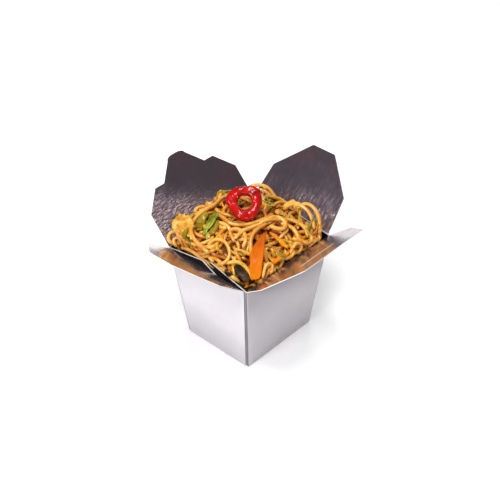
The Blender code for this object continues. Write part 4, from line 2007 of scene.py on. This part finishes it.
def card_and_flaps() -> None:
    """Build the carton and its four flaps."""
    card, edge = Card().material(), CutEdge().material()
    # The dark card copy is painted shade in the front corner's groove.
    groove_shade, web_shade = CARD_GROOVE_SHADE.material(), FOIL_WEB_SHADE.material()
    # The body's inner foil is painted near black as shade.
    for piece in Carton([card, web_shade, edge, groove_shade]).build():
        LOG.info("carton: %s", piece.name)
    # Each flap's crinkling and painted sheen at its crease, at its far edge and by side.
    for body, foil, near, far, side in (("tab_flap", FOIL_ACROSS, 1.10, -0.35, -0.70),
                                        ("slot_flap", FOIL_SLOT_REFLECTION, 0.2, 0.5, 0.0),
                                        ("back_end_flap", FOIL_ALONG, 0.55, 0.08, 0.10),
                                        ("front_end_flap", FOIL_FRONT_REFLECTION, 0.2, 0.5, 0.0)):
        flap = Flap(body, [card, foil.material(), edge], wear_sheen_near=near, wear_sheen_far=far,
                    wear_sheen_side=side)
        LOG.info("flap: %s", flap.build().name)


def slices(kit: Vegetables) -> list[bpy.types.Object]:
    """Build the slices that are large enough to be nodes.

    Args:
        kit: The materials.

    Returns:
        The slices.
    """
    down = (-0.3, -0.6, -0.7)
    return [topping.build() for topping in (
        Topping("pepper_ring", "pepper_skin", kit.pepper, ripple=1.0 * MM, ripple_size=7.5 * MM,
                ring=True, inward=1.0 * MM),
        Topping("carrot_slice", "carrot", kit.carrot, down, ripple=0.6 * MM,
                ripple_size=6.0 * MM, aside=(0.9 * MM, -1.2 * MM, 0.0), tip=4.0 * MM),
        Topping("carrot_strip_upper", "carrot", kit.strip, down),
        Topping("carrot_strip_lower", "carrot", kit.strip),
        Topping("leek_stick", "leek", kit.greens),
        Topping("mushroom_front", "mushroom", kit.mushroom, ripple=0.6 * MM))]


def leaves(kit: Vegetables, bed: Bed) -> list[bpy.types.Object]:
    """Build the leaves.

    Args:
        kit: The materials.
        bed: What they lie on.

    Returns:
        The leaves.
    """
    return [leaf.build(bed) for leaf in (
        Leaf("leaf_cabbage", "cabbage_left", "cabbage", kit.cabbage, middle=(-42, 36, 116),
             reach=(11.0 * MM, 9.0 * MM), turn=0.9, crumple=2.1 * MM, corners=4.0),
        Leaf("leaf_onion", "onion_top", "cabbage", kit.cabbage, middle=(-10, 36, 120),
             reach=(6.5 * MM, 5.0 * MM), turn=0.3, crumple=1.7 * MM, fold_size=4.0 * MM),
        Leaf("leaf_leek", "leek_long", "leek", kit.leek, middle=(-28, 18, 119),
             reach=(13.0 * MM, 2.8 * MM), turn=0.42, crumple=0.9 * MM, fold_size=9.0 * MM,
             ribs=0.35))]


def cuttings(kit: Vegetables, bed: Bed) -> list[bpy.types.Object]:
    """Build the shreds.

    Args:
        kit: The materials.
        bed: What they lie on.

    Returns:
        One piece for each kind of shred.
    """
    return [shreds.build(bed) for shreds in (
        Shreds("leek", "leek", kit.leek, seed=1, scattered=26,
               length=(3 * MM, 9 * MM), width=(0.9 * MM, 2.0 * MM)),
        Shreds("greens", "leek", kit.greens, seed=5, scattered=22,
               length=(4 * MM, 10 * MM), width=(1.2 * MM, 2.8 * MM)),
        Shreds("carrot", "carrot", kit.strip, seed=2, scattered=20,
               length=(3 * MM, 8 * MM), width=(0.9 * MM, 1.8 * MM)),
        Shreds("cabbage", "cabbage", kit.cabbage, seed=3, scattered=26,
               length=(4 * MM, 11 * MM), width=(1.6 * MM, 3.6 * MM)),
        Shreds("mushroom", "mushroom", kit.mushroom, seed=4, scattered=7,
               length=(3 * MM, 7 * MM), width=(1.4 * MM, 2.6 * MM)))]


def main() -> None:
    """Build every piece of the box in order and report each one."""
    logging.basicConfig(level=logging.INFO, format="%(name)s: %(message)s")
    Studio().build()
    card_and_flaps()
    heap = NoodleHeap()
    noodles = heap.build()
    bed = Bed(noodles, heap.outline, heap.swing)
    kit = Vegetables()
    for piece in noodles + slices(kit) + leaves(kit, bed) + cuttings(kit, bed):
        LOG.info("food: %s", piece.name)


if __name__ == "__main__":
    main()
